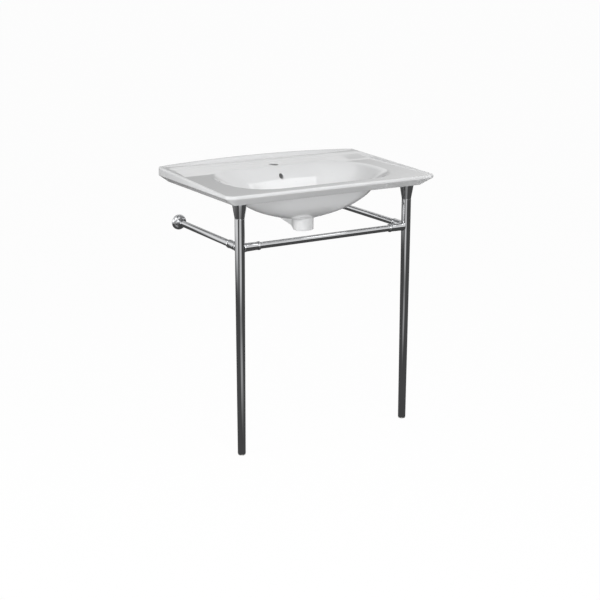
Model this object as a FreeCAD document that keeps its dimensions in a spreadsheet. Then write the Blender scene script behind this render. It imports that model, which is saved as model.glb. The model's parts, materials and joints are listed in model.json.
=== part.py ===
import FreeCAD, Part
import math
import os

import Sketcher
from FreeCAD import Placement, Rotation, Vector

# A wash basin of glazed ceramic on a chromed console: two legs under the basin's front corners, a towel
# bar between them and a side bar from each leg back to the wall.
#
# Frame: +Z up, +Y towards the wall, +X to the right of someone who faces the basin. The origin is on the
# wall's face, on the centre line, at the height of the two hanger bolts. All sizes are millimetres.

OUTPUT_FOLDER = "parts"
SIDES = (("left", -1), ("right", 1))

# Name, value and meaning of every driving dimension.
DIMENSIONS = [
    ("underside_height", 850, "finished floor to the flat underside of the basin"),
    ("hanger_rise", 18, "underside up to the hanger bolts, where the origin is"),
    ("hanger_spacing", 280, "between the two hanger bolts"),
    ("basin_width", 800, "left to right"),
    ("basin_depth", 525, "wall to the front of the rim"),
    ("undercut_rise", 28, "underside up to the upright outer face"),
    ("undercut_inset", 40, "how far the underside lies inside the outer face"),
    ("face_height", 10, "upright outer face at the front"),
    ("rim_rise", 20, "top of the rim, from the front to the wall"),
    ("crest_rise", 12, "highest point of the arched upstand over the rim at the wall"),
    ("front_corner", 30, "plan radius of the two front corners"),
    ("back_corner", 8, "plan radius of the two back corners"),
    ("bead_width", 18, "raised bead round the deck"),
    ("deck_drop", 6, "bead top down to the deck"),
    ("ledge_lap", 8, "front edge of the tap ledge past the back of the bowl"),
    ("ledge_rise", 2.5, "deck up to the tap ledge"),
    ("shelf_back", 74, "wall to the front of the shelf behind the tap ledge"),
    ("shelf_rise", 4, "tap ledge up to the shelf"),
    ("cove_back", 26, "wall to the foot of the upstand's sloped face"),
    ("upstand_thick", 10, "upstand at its top"),
    ("ceramic", 12, "wall of the bowl and of the deck"),
    ("recess_inset", 75, "hollow underside in from the outer face"),
    ("apron_thick", 16, "upright back wall that the hanger bolts pass"),
    ("leg_pad_radius", 32, "solid pad over each leg"),
    ("side_deck", 94, "outer face to the bowl's mouth, left and right"),
    ("front_deck", 63, "outer face to the bowl's mouth, at the front"),
    ("back_deck", 152, "wall to the bowl's mouth"),
    ("bowl_end_flat", 30, "straight stretch at each end of the bowl's mouth, between its corners"),
    ("bowl_depth", 127, "mouth of the bowl down to its floor"),
    ("boss_radius", 31.5, "drain boss"),
    ("boss_length", 56, "floor of the bowl down to the face that the waste's nut bears on"),
    ("drain_radius", 23, "bore of the drain"),
    ("drain_seat_radius", 33, "shallow seat round the drain"),
    ("drain_seat_depth", 3, "how deep that seat is"),
    ("channel_width", 56, "overflow channel, outside"),
    ("channel_wall", 8, "back wall and floor of the overflow channel"),
    ("channel_hollow", 30, "overflow channel, inside, left to right"),
    ("channel_gap", 17, "inside of the overflow channel, front to back"),
    ("channel_lap", 1, "how deep the channel's hollow cuts into the bowl's wall"),
    ("channel_knee_reach", 116, "drain's axis to where the channel's underside turns up"),
    ("channel_knee_rise", 21, "boss's lower face up to that turn"),
    ("overflow_radius", 8.5, "overflow hole"),
    ("overflow_drop", 23, "mouth of the bowl down to the overflow hole"),
    ("tap_radius", 16, "tap hole"),
    ("tap_back", 105, "wall to the centre of the tap hole"),
    ("leg_side_inset", 75, "outer face to the legs' axes, left and right"),
    ("leg_front_inset", 70, "outer face to the legs' axes, at the front"),
    ("leg_radius", 16, "leg above the bars"),
    ("leg_foot_radius", 13.2, "leg at its lower end"),
    ("leg_wall", 2, "wall of the leg's tube"),
    ("taper_drop", 18, "bars' axes down to where the leg starts to taper"),
    ("leg_end_chamfer", 1, "lower edge of the leg"),
    ("cap_height", 48.5, "flared cap between the leg's tube and the basin"),
    ("cap_top_radius", 23.8, "that cap at its top"),
    ("cap_wall", 3, "rim of the cap round its pad"),
    ("cap_screw_radius", 4, "screw that holds the cap"),
    ("cap_screw_head_radius", 6.5, "head of that screw"),
    ("cap_screw_head_thick", 6, "thickness of that head"),
    ("cap_screw_grip", 11, "length of that screw in the plug"),
    ("hex_socket", 5, "across the flats of the screw's hexagon socket"),
    ("pad_thick", 3, "rubber pad in the cap"),
    ("pad_proud", 1.5, "pad above the cap's edge"),
    ("plug_length", 24, "threaded plug inside the leg's upper end"),
    ("bar_drop", 146, "basin's underside down to the axes of the three bars"),
    ("bar_radius", 11, "bars"),
    ("bar_wall", 1.5, "wall of the bars' tubes"),
    ("socket_root_radius", 14, "socket where it meets the leg"),
    ("socket_mouth_radius", 13, "socket at its mouth"),
    ("socket_reach", 64, "leg's axis to the socket's mouth"),
    ("socket_grip", 30, "length of bar held in a socket"),
    ("ring_radius", 14.2, "ring at each socket's mouth"),
    ("ring_width", 8, "along the bar"),
    ("ring_chamfer", 1.2, "edges of the ring"),
    ("flange_radius", 27, "round cover at the wall"),
    ("flange_depth", 15, "how far that cover stands off the wall"),
    ("flange_neck_radius", 14, "cover's neck round the bar"),
    ("flange_neck", 4, "length of that neck"),
    ("flange_skin", 1.5, "sheet thickness of the cover"),
    ("bracket_play", 3.5, "cover's inside to the edge of the plate behind it"),
    ("bracket_thick", 4, "thickness of that plate"),
    ("spigot_length", 30, "plate's spigot inside the bar"),
    ("wall_stud_radius", 4, "threaded stud that holds the plate"),
    ("wall_stud_embed", 32, "stud inside the wall"),
    ("wall_stud_grip", 16, "stud inside the spigot"),
    ("grub_radius", 2, "set screws"),
    ("grub_sink", 0.6, "how deep the set screws lie under the surface around them"),
    ("bracket_grub_length", 5, "set screw in a bar's wall end"),
    ("foot_stud_radius", 5, "screw of the levelling foot"),
    ("foot_stud_spare", 12, "levelling foot's screw above its bush"),
    ("foot_flange_radius", 12, "levelling foot's flange"),
    ("foot_flange_thick", 2, "thickness of that flange"),
    ("foot_sole_thick", 2, "plastic sole under the foot"),
    ("foot_bush_length", 26, "threaded bush in the leg's lower end"),
    ("hanger_radius", 5, "hanger bolts"),
    ("hanger_embed", 60, "hanger bolt inside the wall"),
    ("hanger_spare", 12, "hanger bolt in front of its nut"),
    ("hanger_hole_radius", 8, "holes in the basin's back wall"),
    ("sleeve_collar_radius", 13, "plastic sleeve's collar"),
    ("sleeve_collar_thick", 2, "thickness of that collar"),
    ("washer_radius", 12, "steel washers"),
    ("washer_thick", 2, "thickness of the washers"),
    ("nut_flats", 17, "hanger nuts across their flats"),
    ("nut_thick", 8, "thickness of the hanger nuts"),
    ("stud_step", 0.3, "how much slimmer, in radius, bolts and studs are outside the wall than in it"),
    ("running_gap", 0.06, "radial gap of parts that slide or screw"),
    ("fitting_gap", 0.15, "radial gap of parts that are pushed together and stay"),
    ("braze_gap", 0.05, "gap of a brazed seam"),
]


class Size:
    """A length that knows both its value and the sheet expression that gives it."""

    def __init__(self, value, text):
        self.value = float(value)
        self.text = text

    @staticmethod
    def of(number):
        return number if isinstance(number, Size) else Size(number, repr(number))

    def join(self, other, sign, value):
        return Size(value, "(%s %s %s)" % (self.text, sign, Size.of(other).text))

    def __add__(self, other):
        return self.join(other, "+", self.value + Size.of(other).value)

    def __sub__(self, other):
        return self.join(other, "-", self.value - Size.of(other).value)

    def __mul__(self, other):
        return self.join(other, "*", self.value * Size.of(other).value)

    def __truediv__(self, other):
        return self.join(other, "/", self.value / Size.of(other).value)

    def __radd__(self, other):
        return Size.of(other) + self

    def __rsub__(self, other):
        return Size.of(other) - self

    def __rmul__(self, other):
        return Size.of(other) * self

    def __neg__(self):
        return Size(-self.value, "(-1 * %s)" % self.text)

    def root(self):
        return Size(math.sqrt(self.value), "sqrt(%s)" % self.text)


class Sheet:
    """The driving dimensions, each one an attribute that is a Size."""

    def __init__(self, doc):
        table = doc.addObject("Spreadsheet::Sheet", "Dimensions")
        table.Label = "driving dimensions"
        for row, (name, value, meaning) in enumerate(DIMENSIONS, start=1):
            table.set("A%d" % row, name)
            table.set("B%d" % row, str(value))
            table.set("C%d" % row, meaning)
            table.setAlias("B%d" % row, name)
            setattr(self, name, Size(value, "Dimensions.%s" % name))
        doc.recompute()


doc = FreeCAD.newDocument("console_basin")
d = Sheet(doc)
subparts = []

NOTHING = Size.of(0)

# How far a cut runs past the faces it opens.
OVERSHOOT = Size.of(20)


# ---------------------------------------------------------------------------------------------------
# Levels and lines that several pieces share. Every level is a Z, and the floor's is negative.
# ---------------------------------------------------------------------------------------------------

underside = -d.hanger_rise
floor = underside - d.underside_height
edge = underside + d.undercut_rise
rim_front = edge + d.face_height
rim_back = rim_front + d.rim_rise
crest = rim_back + d.crest_rise
bars = underside - d.bar_drop

bowl_width = d.basin_width - 2 * d.side_deck
bowl_length = d.basin_depth - d.front_deck - d.back_deck
bowl_back = d.back_deck + bowl_length / 2
bowl_corner = (bowl_length - d.bowl_end_flat) / 2

leg_spacing = d.basin_width - 2 * d.leg_side_inset
leg_back = d.basin_depth - d.leg_front_inset
leg_bottom = floor + d.foot_sole_thick + d.foot_flange_thick
leg_top = underside - d.pad_proud - d.cap_height


def rim_line(y):
    """Z of the rim's top at a distance y in front of the wall, where y is negative."""
    return rim_back + d.rim_rise / d.basin_depth * y


def deck_line(y):
    return rim_line(y) - d.deck_drop


bowl_mouth = deck_line(d.front_deck - d.basin_depth)
bowl_floor = bowl_mouth - d.bowl_depth
boss_bottom = bowl_floor - d.boss_length


def leg_outside(z):
    """Outer radius of a leg's tapered stretch at a level."""
    taper = (d.leg_radius - d.leg_foot_radius) / (bars - d.taper_drop - leg_bottom)
    return d.leg_foot_radius + taper * (z - leg_bottom)


def socket_outside(reach):
    """Outer radius of a socket at a distance from the leg's axis."""
    taper = (d.socket_root_radius - d.socket_mouth_radius) / (d.socket_reach - d.leg_radius)
    return d.socket_mouth_radius + taper * (d.socket_reach - reach)


def leg_axis(sign):
    return (leg_spacing / 2 * sign, -leg_back)


# ---------------------------------------------------------------------------------------------------
# Bodies, sketches and features
# ---------------------------------------------------------------------------------------------------

def new_body(label, x=0, y=0, z=0):
    """A body whose own origin stands at x, y, z of the part's frame."""
    body = doc.addObject("PartDesign::Body", label)
    body.Label = label
    for axis, place in (("x", x), ("y", y), ("z", z)):
        body.setExpression("Placement.Base." + axis, Size.of(place).text)
    subparts.append(body)
    return body


def origin_part(body, role):
    return next(item for item in body.Origin.OriginFeatures if item.Role == role)


def new_sketch(body, plane, name, offset=None):
    sketch = body.newObject("Sketcher::SketchObject", "%s_%s" % (body.Name, name))
    sketch.AttachmentSupport = [(origin_part(body, plane), "")]
    sketch.MapMode = "FlatFace"
    if offset is not None:
        sketch.AttachmentOffset = Placement(Vector(0, 0, offset.value), Rotation())
        sketch.setExpression("AttachmentOffset.Base.z", offset.text)
    return sketch


def bind(sketch, kind, geometry, point, size):
    """Holds a point's coordinate, or a radius, to a size. A plain 0 puts the point on the axis."""
    if isinstance(size, (int, float)) and size == 0:
        axis = -2 if kind == "DistanceX" else -1
        sketch.addConstraint(Sketcher.Constraint("PointOnObject", geometry, point, axis))
        return
    size = Size.of(size)
    if kind == "Radius":
        index = sketch.addConstraint(Sketcher.Constraint(kind, geometry, size.value))
    else:
        index = sketch.addConstraint(Sketcher.Constraint(kind, -1, 1, geometry, point, size.value))
    sketch.setExpression("Constraints[%d]" % index, size.text)


def outline(sketch, corners):
    """A closed outline of straight lines through the corners."""
    points = [Vector(Size.of(x).value, Size.of(y).value, 0) for x, y in corners]
    edges = [Part.LineSegment(start, end) for start, end in zip(points, points[1:] + points[:1])]
    lines = sketch.addGeometry(edges, False)
    for line, follower in zip(lines, lines[1:] + lines[:1]):
        sketch.addConstraint(Sketcher.Constraint("Coincident", line, 2, follower, 1))
    for line, (x, y) in zip(lines, corners):
        bind(sketch, "DistanceX", line, 1, x)
        bind(sketch, "DistanceY", line, 1, y)


def circle(sketch, x, y, radius):
    middle = Vector(Size.of(x).value, Size.of(y).value, 0)
    ring = sketch.addGeometry(Part.Circle(middle, Vector(0, 0, 1), radius.value), False)
    bind(sketch, "DistanceX", ring, 3, x)
    bind(sketch, "DistanceY", ring, 3, y)
    bind(sketch, "Radius", ring, 0, radius)


def rounded_rectangle(sketch, left, right, front, back, front_radius, back_radius):
    """Four straight sides joined by tangent arcs, drawn anticlockwise from the front right corner."""
    corners = [
        (right, front, front_radius, -1, 1, -90),
        (right, back, back_radius, -1, -1, 0),
        (left, back, back_radius, 1, -1, 90),
        (left, front, front_radius, 1, 1, 180),
    ]
    arcs, centres = [], []
    for x, y, radius, inward_x, inward_y, start in corners:
        centre = (x + radius * inward_x, y + radius * inward_y)
        middle = Vector(centre[0].value, centre[1].value, 0)
        whole = Part.Circle(middle, Vector(0, 0, 1), radius.value)
        arcs.append(Part.ArcOfCircle(whole, math.radians(start), math.radians(start + 90)))
        centres.append((centre, radius))
    sides = [Part.LineSegment(arc.EndPoint, after.StartPoint)
             for arc, after in zip(arcs, arcs[1:] + arcs[:1])]
    arc_ids = sketch.addGeometry(arcs, False)
    side_ids = sketch.addGeometry(sides, False)
    for number, (arc, side) in enumerate(zip(arc_ids, side_ids)):
        after = arc_ids[(number + 1) % len(arc_ids)]
        sketch.addConstraint(Sketcher.Constraint("Tangent", arc, 2, side, 1))
        sketch.addConstraint(Sketcher.Constraint("Tangent", side, 2, after, 1))
    for arc, (centre, radius) in zip(arc_ids, centres):
        bind(sketch, "DistanceX", arc, 3, centre[0])
        bind(sketch, "DistanceY", arc, 3, centre[1])
        bind(sketch, "Radius", arc, 0, radius)


def hexagon(sketch, flats):
    """A nut's outline about the sketch's own origin, flats to left and right."""
    half = flats / 2
    reach = flats / Size.of(3).root()
    outline(sketch, [
        (half, reach / 2), (0, reach), (-half, reach / 2),
        (-half, -reach / 2), (0, -reach), (half, -reach / 2),
    ])


def extrude(body, kind, sketch, length, both_ways=False, backwards=False):
    """A Pad or a Pocket of the sketch."""
    feature = body.newObject("PartDesign::" + kind, "%s_%s" % (sketch.Name, kind.lower()))
    feature.Profile = sketch
    feature.SideType = "Symmetric" if both_ways else "One side"
    feature.Reversed = backwards
    feature.Length = length.value
    feature.setExpression("Length", length.text)


def pad(body, sketch, length, both_ways=False):
    extrude(body, "Pad", sketch, length, both_ways)


def pocket(body, sketch, length, both_ways=False, backwards=False):
    extrude(body, "Pocket", sketch, length, both_ways, backwards)


def revolve(body, sketch, axis, kind="Revolution"):
    """A Revolution, or a Groove, of the sketch through a full turn about the body's own axis."""
    feature = body.newObject("PartDesign::" + kind, "%s_%s" % (sketch.Name, kind.lower()))
    feature.Profile = sketch
    feature.ReferenceAxis = (origin_part(body, axis), [""])
    feature.Angle = 360


def section(body, name, corners, along="Z", kind="Revolution"):
    """Turns a half section, a list of (radius, place along the axis), about one of the body's axes."""
    if along == "Z":
        sketch = new_sketch(body, "XZ_Plane", name)
        outline(sketch, corners)
    elif along == "Y":
        sketch = new_sketch(body, "XY_Plane", name)
        outline(sketch, corners)
    else:
        sketch = new_sketch(body, "XY_Plane", name)
        outline(sketch, [(place, radius) for radius, place in corners])
    revolve(body, sketch, along + "_Axis", kind)


def turned(label, corners, x=0, y=0, z=0, along="Z"):
    """A piece that is one turned section, standing at x, y, z."""
    body = new_body(label, x, y, z)
    section(body, "section", corners, along)
    return body


def tube(inner, outer, start, end):
    """The half section of a plain tube or, with an inner radius of 0, of a rod."""
    return [(inner, start), (outer, start), (outer, end), (inner, end)]


def stepped(radius, end, slim_radius, slim_end):
    """Corners of a stud that is thick on one side of zero and slim on the other."""
    return [(0, end), (radius, end), (radius, 0), (slim_radius, 0), (slim_radius, slim_end), (0, slim_end)]


def ruled_loft(body, kind, sketches):
    feature = body.newObject("PartDesign::" + kind, "%s_loft" % sketches[0].Name)
    feature.Profile = sketches[0]
    feature.Sections = sketches[1:]
    feature.Ruled = True


# ---------------------------------------------------------------------------------------------------
# The basin
# ---------------------------------------------------------------------------------------------------

def basin_outline(body, name, z, inset):
    """The basin's plan, drawn in from the outer face at the front and the sides."""
    sketch = new_sketch(body, "XY_Plane", name, z)
    half = d.basin_width / 2 - inset
    rounded_rectangle(sketch, -half, half, -d.basin_depth + inset, NOTHING, d.front_corner, d.back_corner)
    return sketch


def basin_slab(body):
    """The undercut lower edge and the upright outer face above it."""
    lower = basin_outline(body, "lower", underside, d.undercut_inset)
    upper = basin_outline(body, "upper", edge, NOTHING)
    ruled_loft(body, "AdditiveLoft", [lower, upper])
    face = basin_outline(body, "face", edge, NOTHING)
    pad(body, face, crest - edge)


def basin_top(body):
    """The sloping rim, the arched crest, the deck inside the bead, the tap ledge and the moulding."""
    above = crest + OVERSHOOT
    front = -d.basin_depth
    ledge_back = d.back_deck + d.ledge_lap
    ahead = front - OVERSHOOT
    rim = new_sketch(body, "YZ_Plane", "rim")
    outline(rim, [
        (ahead, rim_line(ahead)), (-d.upstand_thick, rim_line(-d.upstand_thick)),
        (-d.upstand_thick, above), (ahead, above),
    ])
    pocket(body, rim, d.basin_width + 2 * OVERSHOOT, both_ways=True)

    crest_cut(body)

    deck = new_sketch(body, "YZ_Plane", "deck")
    step = d.ledge_rise
    outline(deck, [
        (front + d.bead_width, deck_line(front + d.bead_width)),
        (-ledge_back - step, deck_line(-ledge_back - step)),
        (-ledge_back, deck_line(-ledge_back) + d.ledge_rise),
        (-d.shelf_back - d.shelf_rise, deck_line(-d.shelf_back - d.shelf_rise) + d.ledge_rise),
        (-d.shelf_back, deck_line(-d.shelf_back) + d.ledge_rise + d.shelf_rise),
        (-d.cove_back, deck_line(-d.cove_back) + d.ledge_rise + d.shelf_rise),
        (-d.upstand_thick, crest),
        (-d.upstand_thick, above),
        (front + d.bead_width, above),
    ])
    pocket(body, deck, d.basin_width - 2 * d.bead_width, both_ways=True)


def crest_cut(body):
    """Takes away what stands above the arched top of the upstand."""
    above = crest + OVERSHOOT
    half = d.basin_width / 2
    rise = d.crest_rise
    radius = (half * half + rise * rise) / (2 * rise)
    centre = crest - radius
    reach = half + OVERSHOOT
    end = centre + (radius * radius - reach * reach).root()
    sketch = new_sketch(body, "XZ_Plane", "crest")
    angle = math.asin(reach.value / radius.value)
    whole = Part.Circle(Vector(0, centre.value, 0), Vector(0, 0, 1), radius.value)
    arc = sketch.addGeometry(Part.ArcOfCircle(whole, math.pi / 2 - angle, math.pi / 2 + angle), False)
    corners = [(-reach, end), (-reach, above), (reach, above), (reach, end)]
    points = [Vector(x.value, y.value, 0) for x, y in corners]
    lines = sketch.addGeometry([Part.LineSegment(a, b) for a, b in zip(points, points[1:])], False)
    for line, follower in zip(lines, lines[1:]):
        sketch.addConstraint(Sketcher.Constraint("Coincident", line, 2, follower, 1))
    sketch.addConstraint(Sketcher.Constraint("Coincident", arc, 2, lines[0], 1))
    sketch.addConstraint(Sketcher.Constraint("Coincident", lines[-1], 2, arc, 1))
    sketch.addConstraint(Sketcher.Constraint("PointOnObject", arc, 3, -2))
    bind(sketch, "DistanceY", arc, 3, centre)
    bind(sketch, "Radius", arc, 0, radius)
    for line, (x, y) in zip(lines[1:], corners[1:]):
        bind(sketch, "DistanceX", line, 1, x)
        bind(sketch, "DistanceY", line, 1, y)
    bind(sketch, "DistanceX", arc, 2, -reach)
    bind(sketch, "DistanceX", arc, 1, reach)
    pocket(body, sketch, 2 * d.basin_depth, both_ways=True)


def basin_underside(body):
    """The hollow under the deck, and the solid pad that each leg stands under."""
    below = underside - OVERSHOOT
    front = -d.basin_depth + d.recess_inset
    hollow = new_sketch(body, "YZ_Plane", "hollow")
    outline(hollow, [
        (front, below), (-d.apron_thick, below),
        (-d.apron_thick, deck_line(-d.apron_thick) - d.ceramic), (front, deck_line(front) - d.ceramic),
    ])
    pocket(body, hollow, d.basin_width - 2 * d.recess_inset, both_ways=True)
    pads = new_sketch(body, "XY_Plane", "pads", underside)
    for side, sign in SIDES:
        x, y = leg_axis(sign)
        circle(pads, x, y, d.leg_pad_radius)
    pad(body, pads, d.undercut_rise)


# The bowl's sections: how far down from mouth to floor, and the half width and half length that are left
# there, each as a share of the mouth's. The outside of the bowl's wall lies lower than its inside by a share
# of the wall that grows from EDGE_SHARE at the mouth, where the wall is steep, to the whole at the floor.
BOWL_SECTIONS = [
    (0.00, 1.00, 1.00),
    (0.13, 0.86, 0.93),
    (0.34, 0.79, 0.86),
    (0.60, 0.68, 0.75),
    (0.84, 0.49, 0.55),
    (1.00, 0.22, 0.28),
]
EDGE_SHARE = 0.35


def bowl_section(down, width, length, wall):
    """Level, half width, half length and corner radius of one section, widened by the wall."""
    z = bowl_mouth - d.bowl_depth * down - wall * (EDGE_SHARE + (1 - EDGE_SHARE) * down)
    half_width = bowl_width / 2 * width + wall
    half_length = bowl_length / 2 * length + wall
    return z, half_width, half_length, bowl_corner * min(width, length) + wall


def bowl_sketch(body, name, z, half_width, half_length, corner):
    sketch = new_sketch(body, "XY_Plane", name, z)
    rounded_rectangle(sketch, -half_width, half_width, -bowl_back - half_length, -bowl_back + half_length,
                      corner, corner)
    return sketch


def bowl_solid(body, kind, name, wall):
    """Lofts down the bowl, from its mouth to its floor."""
    sketches = [bowl_sketch(body, name + str(number), *bowl_section(*shares, wall))
                for number, shares in enumerate(BOWL_SECTIONS)]
    ruled_loft(body, kind, sketches)


def basin_bowl_outside(body):
    """The bowl's wall with its neck up into the deck, the drain boss and the overflow channel."""
    bowl_solid(body, "AdditiveLoft", "outside", d.ceramic)
    neck = bowl_sketch(body, "neck", *bowl_section(*BOWL_SECTIONS[0], d.ceramic))
    pad(body, neck, rim_back - bowl_mouth)
    boss = new_sketch(body, "XY_Plane", "boss", boss_bottom)
    circle(boss, 0, -bowl_back, d.boss_radius)
    pad(body, boss, d.boss_length)
    channel = new_sketch(body, "YZ_Plane", "channel")
    outline(channel, channel_outside())
    pad(body, channel, d.channel_width, both_ways=True)


def basin_bowl_inside(body):
    """The hollow of the bowl and its opening up through the deck."""
    bowl_solid(body, "SubtractiveLoft", "inside", NOTHING)
    mouth = bowl_sketch(body, "mouth", bowl_mouth, bowl_width / 2, bowl_length / 2, bowl_corner)
    pocket(body, mouth, crest - bowl_mouth, backwards=True)


def bowl_back_line():
    """The outside of the bowl's back wall on the centre line, from the deck down to the floor."""
    line = []
    for shares in BOWL_SECTIONS:
        z, half_width, half_length, corner = bowl_section(*shares, d.ceramic)
        line.append((-bowl_back + half_length, z))
    return line


def channel_line(out, foot_rise):
    """The side of the overflow channel that is turned away from the bowl, at a distance from the bowl."""
    mouth, shoulder, upper, lower, hip, bottom = bowl_back_line()
    return [
        (shoulder[0] + out, shoulder[1]),
        (upper[0] + out, upper[1]),
        (lower[0] + out, lower[1]),
        (-bowl_back + d.channel_knee_reach - foot_rise / 2, boss_bottom + d.channel_knee_rise + foot_rise),
        (-bowl_back + d.boss_radius, boss_bottom + foot_rise),
        (-bowl_back, boss_bottom + foot_rise),
    ]


def channel_outside():
    """The overflow channel seen from the side: under the deck, down behind the bowl and to the boss."""
    mouth, shoulder, upper, lower, hip, bottom = bowl_back_line()
    half = d.ceramic / 2
    out = d.channel_gap + d.channel_wall
    top = deck_line(shoulder[0]) - half
    over_boss = (-bowl_back, bottom[1] + half)
    against_bowl = [(lower[0] - half, lower[1]), (shoulder[0] - half, shoulder[1]),
                    (shoulder[0] - half, top)]
    return [(shoulder[0] + out, top)] + channel_line(out, NOTHING) + [over_boss] + against_bowl


def channel_inside():
    """The hollow of the overflow channel, from behind the overflow hole down into the drain's bore."""
    mouth, shoulder, upper, lower, hip, bottom = bowl_back_line()
    lap = d.channel_lap
    top = shoulder[1] + d.overflow_radius
    over_bore = (-bowl_back, boss_bottom + d.channel_wall + d.channel_gap)
    against_bowl = [(y + lap, z - lap) for y, z in (bottom, hip, lower, upper, shoulder)]
    return ([(shoulder[0] + lap, top), (shoulder[0] + d.channel_gap, top)]
            + channel_line(d.channel_gap, d.channel_wall) + [over_bore] + against_bowl)


def basin_holes(body):
    """Drain, overflow, tap hole and hanger holes."""
    hollow = new_sketch(body, "YZ_Plane", "channel_hollow")
    outline(hollow, channel_inside())
    pocket(body, hollow, d.channel_hollow, both_ways=True)

    drain = new_sketch(body, "XY_Plane", "drain", bowl_floor + OVERSHOOT)
    circle(drain, 0, -bowl_back, d.drain_radius)
    pocket(body, drain, d.boss_length + 2 * OVERSHOOT)
    seat = new_sketch(body, "XY_Plane", "seat", bowl_floor)
    circle(seat, 0, -bowl_back, d.drain_seat_radius)
    pocket(body, seat, d.drain_seat_depth)

    mouth, shoulder, upper, lower, hip, bottom = bowl_back_line()
    overflow = new_sketch(body, "XZ_Plane", "overflow", -shoulder[0] - d.channel_gap / 2)
    circle(overflow, 0, bowl_mouth - d.overflow_drop, d.overflow_radius)
    pocket(body, overflow, d.ceramic + d.channel_gap + d.overflow_radius, backwards=True)

    tap = new_sketch(body, "XY_Plane", "tap", deck_line(-d.tap_back) + OVERSHOOT)
    circle(tap, 0, -d.tap_back, d.tap_radius)
    pocket(body, tap, d.ceramic + 2 * OVERSHOOT)

    hangers = new_sketch(body, "XZ_Plane", "hangers")
    for side, sign in SIDES:
        circle(hangers, d.hanger_spacing / 2 * sign, 0, d.hanger_hole_radius)
    pocket(body, hangers, 2 * (d.apron_thick + d.sleeve_collar_thick), both_ways=True)


def basin(label):
    body = new_body(label)
    basin_slab(body)
    basin_underside(body)
    basin_bowl_outside(body)
    basin_top(body)
    basin_bowl_inside(body)
    basin_holes(body)


# ---------------------------------------------------------------------------------------------------
# Legs, with what is in their ends
# ---------------------------------------------------------------------------------------------------

def leg(side, sign):
    """A tube, straight from its top to below the bars and then tapered down to the foot."""
    x, y = leg_axis(sign)
    chamfer = d.leg_end_chamfer
    taper = bars - d.taper_drop
    turned("leg_" + side, [
        (d.leg_foot_radius - d.leg_wall, leg_bottom),
        (d.leg_foot_radius - chamfer, leg_bottom),
        (leg_outside(leg_bottom + chamfer), leg_bottom + chamfer),
        (d.leg_radius, taper),
        (d.leg_radius, leg_top),
        (d.leg_radius - d.leg_wall, leg_top),
        (d.leg_radius - d.leg_wall, taper),
    ], x, y)


def leg_upper_end(side, sign):
    """Plug, flared cap, cap screw and rubber pad. Each stands at the upper end of the leg's tube."""
    x, y = leg_axis(sign)
    seat = d.cap_height + d.pad_proud - d.pad_thick
    head = seat - d.cap_screw_head_thick
    hole = d.cap_screw_radius + d.running_gap
    head_hole = d.cap_screw_head_radius + d.fitting_gap
    pad_radius = d.cap_top_radius - d.cap_wall
    plug_radius = d.leg_radius - d.leg_wall - d.fitting_gap

    turned("leg_plug_" + side, tube(hole, plug_radius, -d.plug_length, 0), x, y, leg_top)
    turned("leg_cap_" + side, [
        (hole, 0), (d.leg_radius, 0), (d.cap_top_radius, d.cap_height), (pad_radius, d.cap_height),
        (pad_radius, seat), (head_hole, seat), (head_hole, head), (hole, head),
    ], x, y, leg_top)
    screw = turned("cap_screw_" + side, [
        (0, -d.cap_screw_grip), (d.cap_screw_radius, -d.cap_screw_grip), (d.cap_screw_radius, head),
        (d.cap_screw_head_radius, head), (d.cap_screw_head_radius, seat), (0, seat),
    ], x, y, leg_top)
    socket = new_sketch(screw, "XY_Plane", "socket", seat)
    hexagon(socket, d.hex_socket)
    pocket(screw, socket, d.cap_screw_head_thick / 2)
    turned("cap_pad_" + side, tube(0, pad_radius - d.fitting_gap, seat, seat + d.pad_thick), x, y, leg_top)


def leg_lower_end(side, sign):
    """Threaded bush, levelling foot and its sole."""
    x, y = leg_axis(sign)
    flange_bottom = floor + d.foot_sole_thick
    bush_top = leg_bottom + d.foot_bush_length
    stud_top = bush_top + d.foot_stud_spare
    play = d.leg_wall + d.fitting_gap
    turned("foot_bush_" + side, [
        (d.foot_stud_radius + d.running_gap, leg_bottom),
        (leg_outside(leg_bottom) - play, leg_bottom),
        (leg_outside(bush_top) - play, bush_top),
        (d.foot_stud_radius + d.running_gap, bush_top),
    ], x, y)
    turned("levelling_foot_" + side, [
        (0, flange_bottom), (d.foot_flange_radius, flange_bottom), (d.foot_flange_radius, leg_bottom),
        (d.foot_stud_radius, leg_bottom), (d.foot_stud_radius, stud_top), (0, stud_top),
    ], x, y)
    turned("foot_sole_" + side, tube(0, d.foot_flange_radius, floor, flange_bottom), x, y)


# ---------------------------------------------------------------------------------------------------
# Bars, corner sockets and rings
# ---------------------------------------------------------------------------------------------------

def corner_socket(side, sign):
    """One casting with two tapered sockets, brazed to the leg: towards the other leg and to the wall."""
    x, y = leg_axis(sign)
    body = new_body("corner_socket_" + side, x, y, bars)
    inward = -sign
    for name, along, way in (("front", "X", inward), ("side", "Y", 1)):
        section(body, name, [
            (0, 0), (d.socket_root_radius, 0), (d.socket_root_radius, d.leg_radius * way),
            (d.socket_mouth_radius, d.socket_reach * way), (0, d.socket_reach * way),
        ], along)
    for name, along, way in (("front_bore", "X", inward), ("side_bore", "Y", 1)):
        bottom = (d.socket_reach - d.socket_grip) * way
        beyond = (d.socket_reach + d.ring_width) * way
        section(body, name, tube(0, d.bar_radius + d.fitting_gap, bottom, beyond), along, "Groove")
    saddle = new_sketch(body, "XY_Plane", "saddle")
    circle(saddle, 0, 0, d.leg_radius + d.braze_gap)
    pocket(body, saddle, 2 * (d.socket_root_radius + OVERSHOOT), both_ways=True)
    holes = new_sketch(body, "XY_Plane", "grubs")
    grip = grub_place()
    circle(holes, grip * inward, 0, d.grub_radius + d.running_gap)
    circle(holes, 0, grip, d.grub_radius + d.running_gap)
    pocket(body, holes, d.socket_root_radius + OVERSHOOT)


def grub_place():
    """How far from the leg's axis a socket's set screw is, halfway along the grip."""
    return d.socket_reach - d.socket_grip / 2


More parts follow.
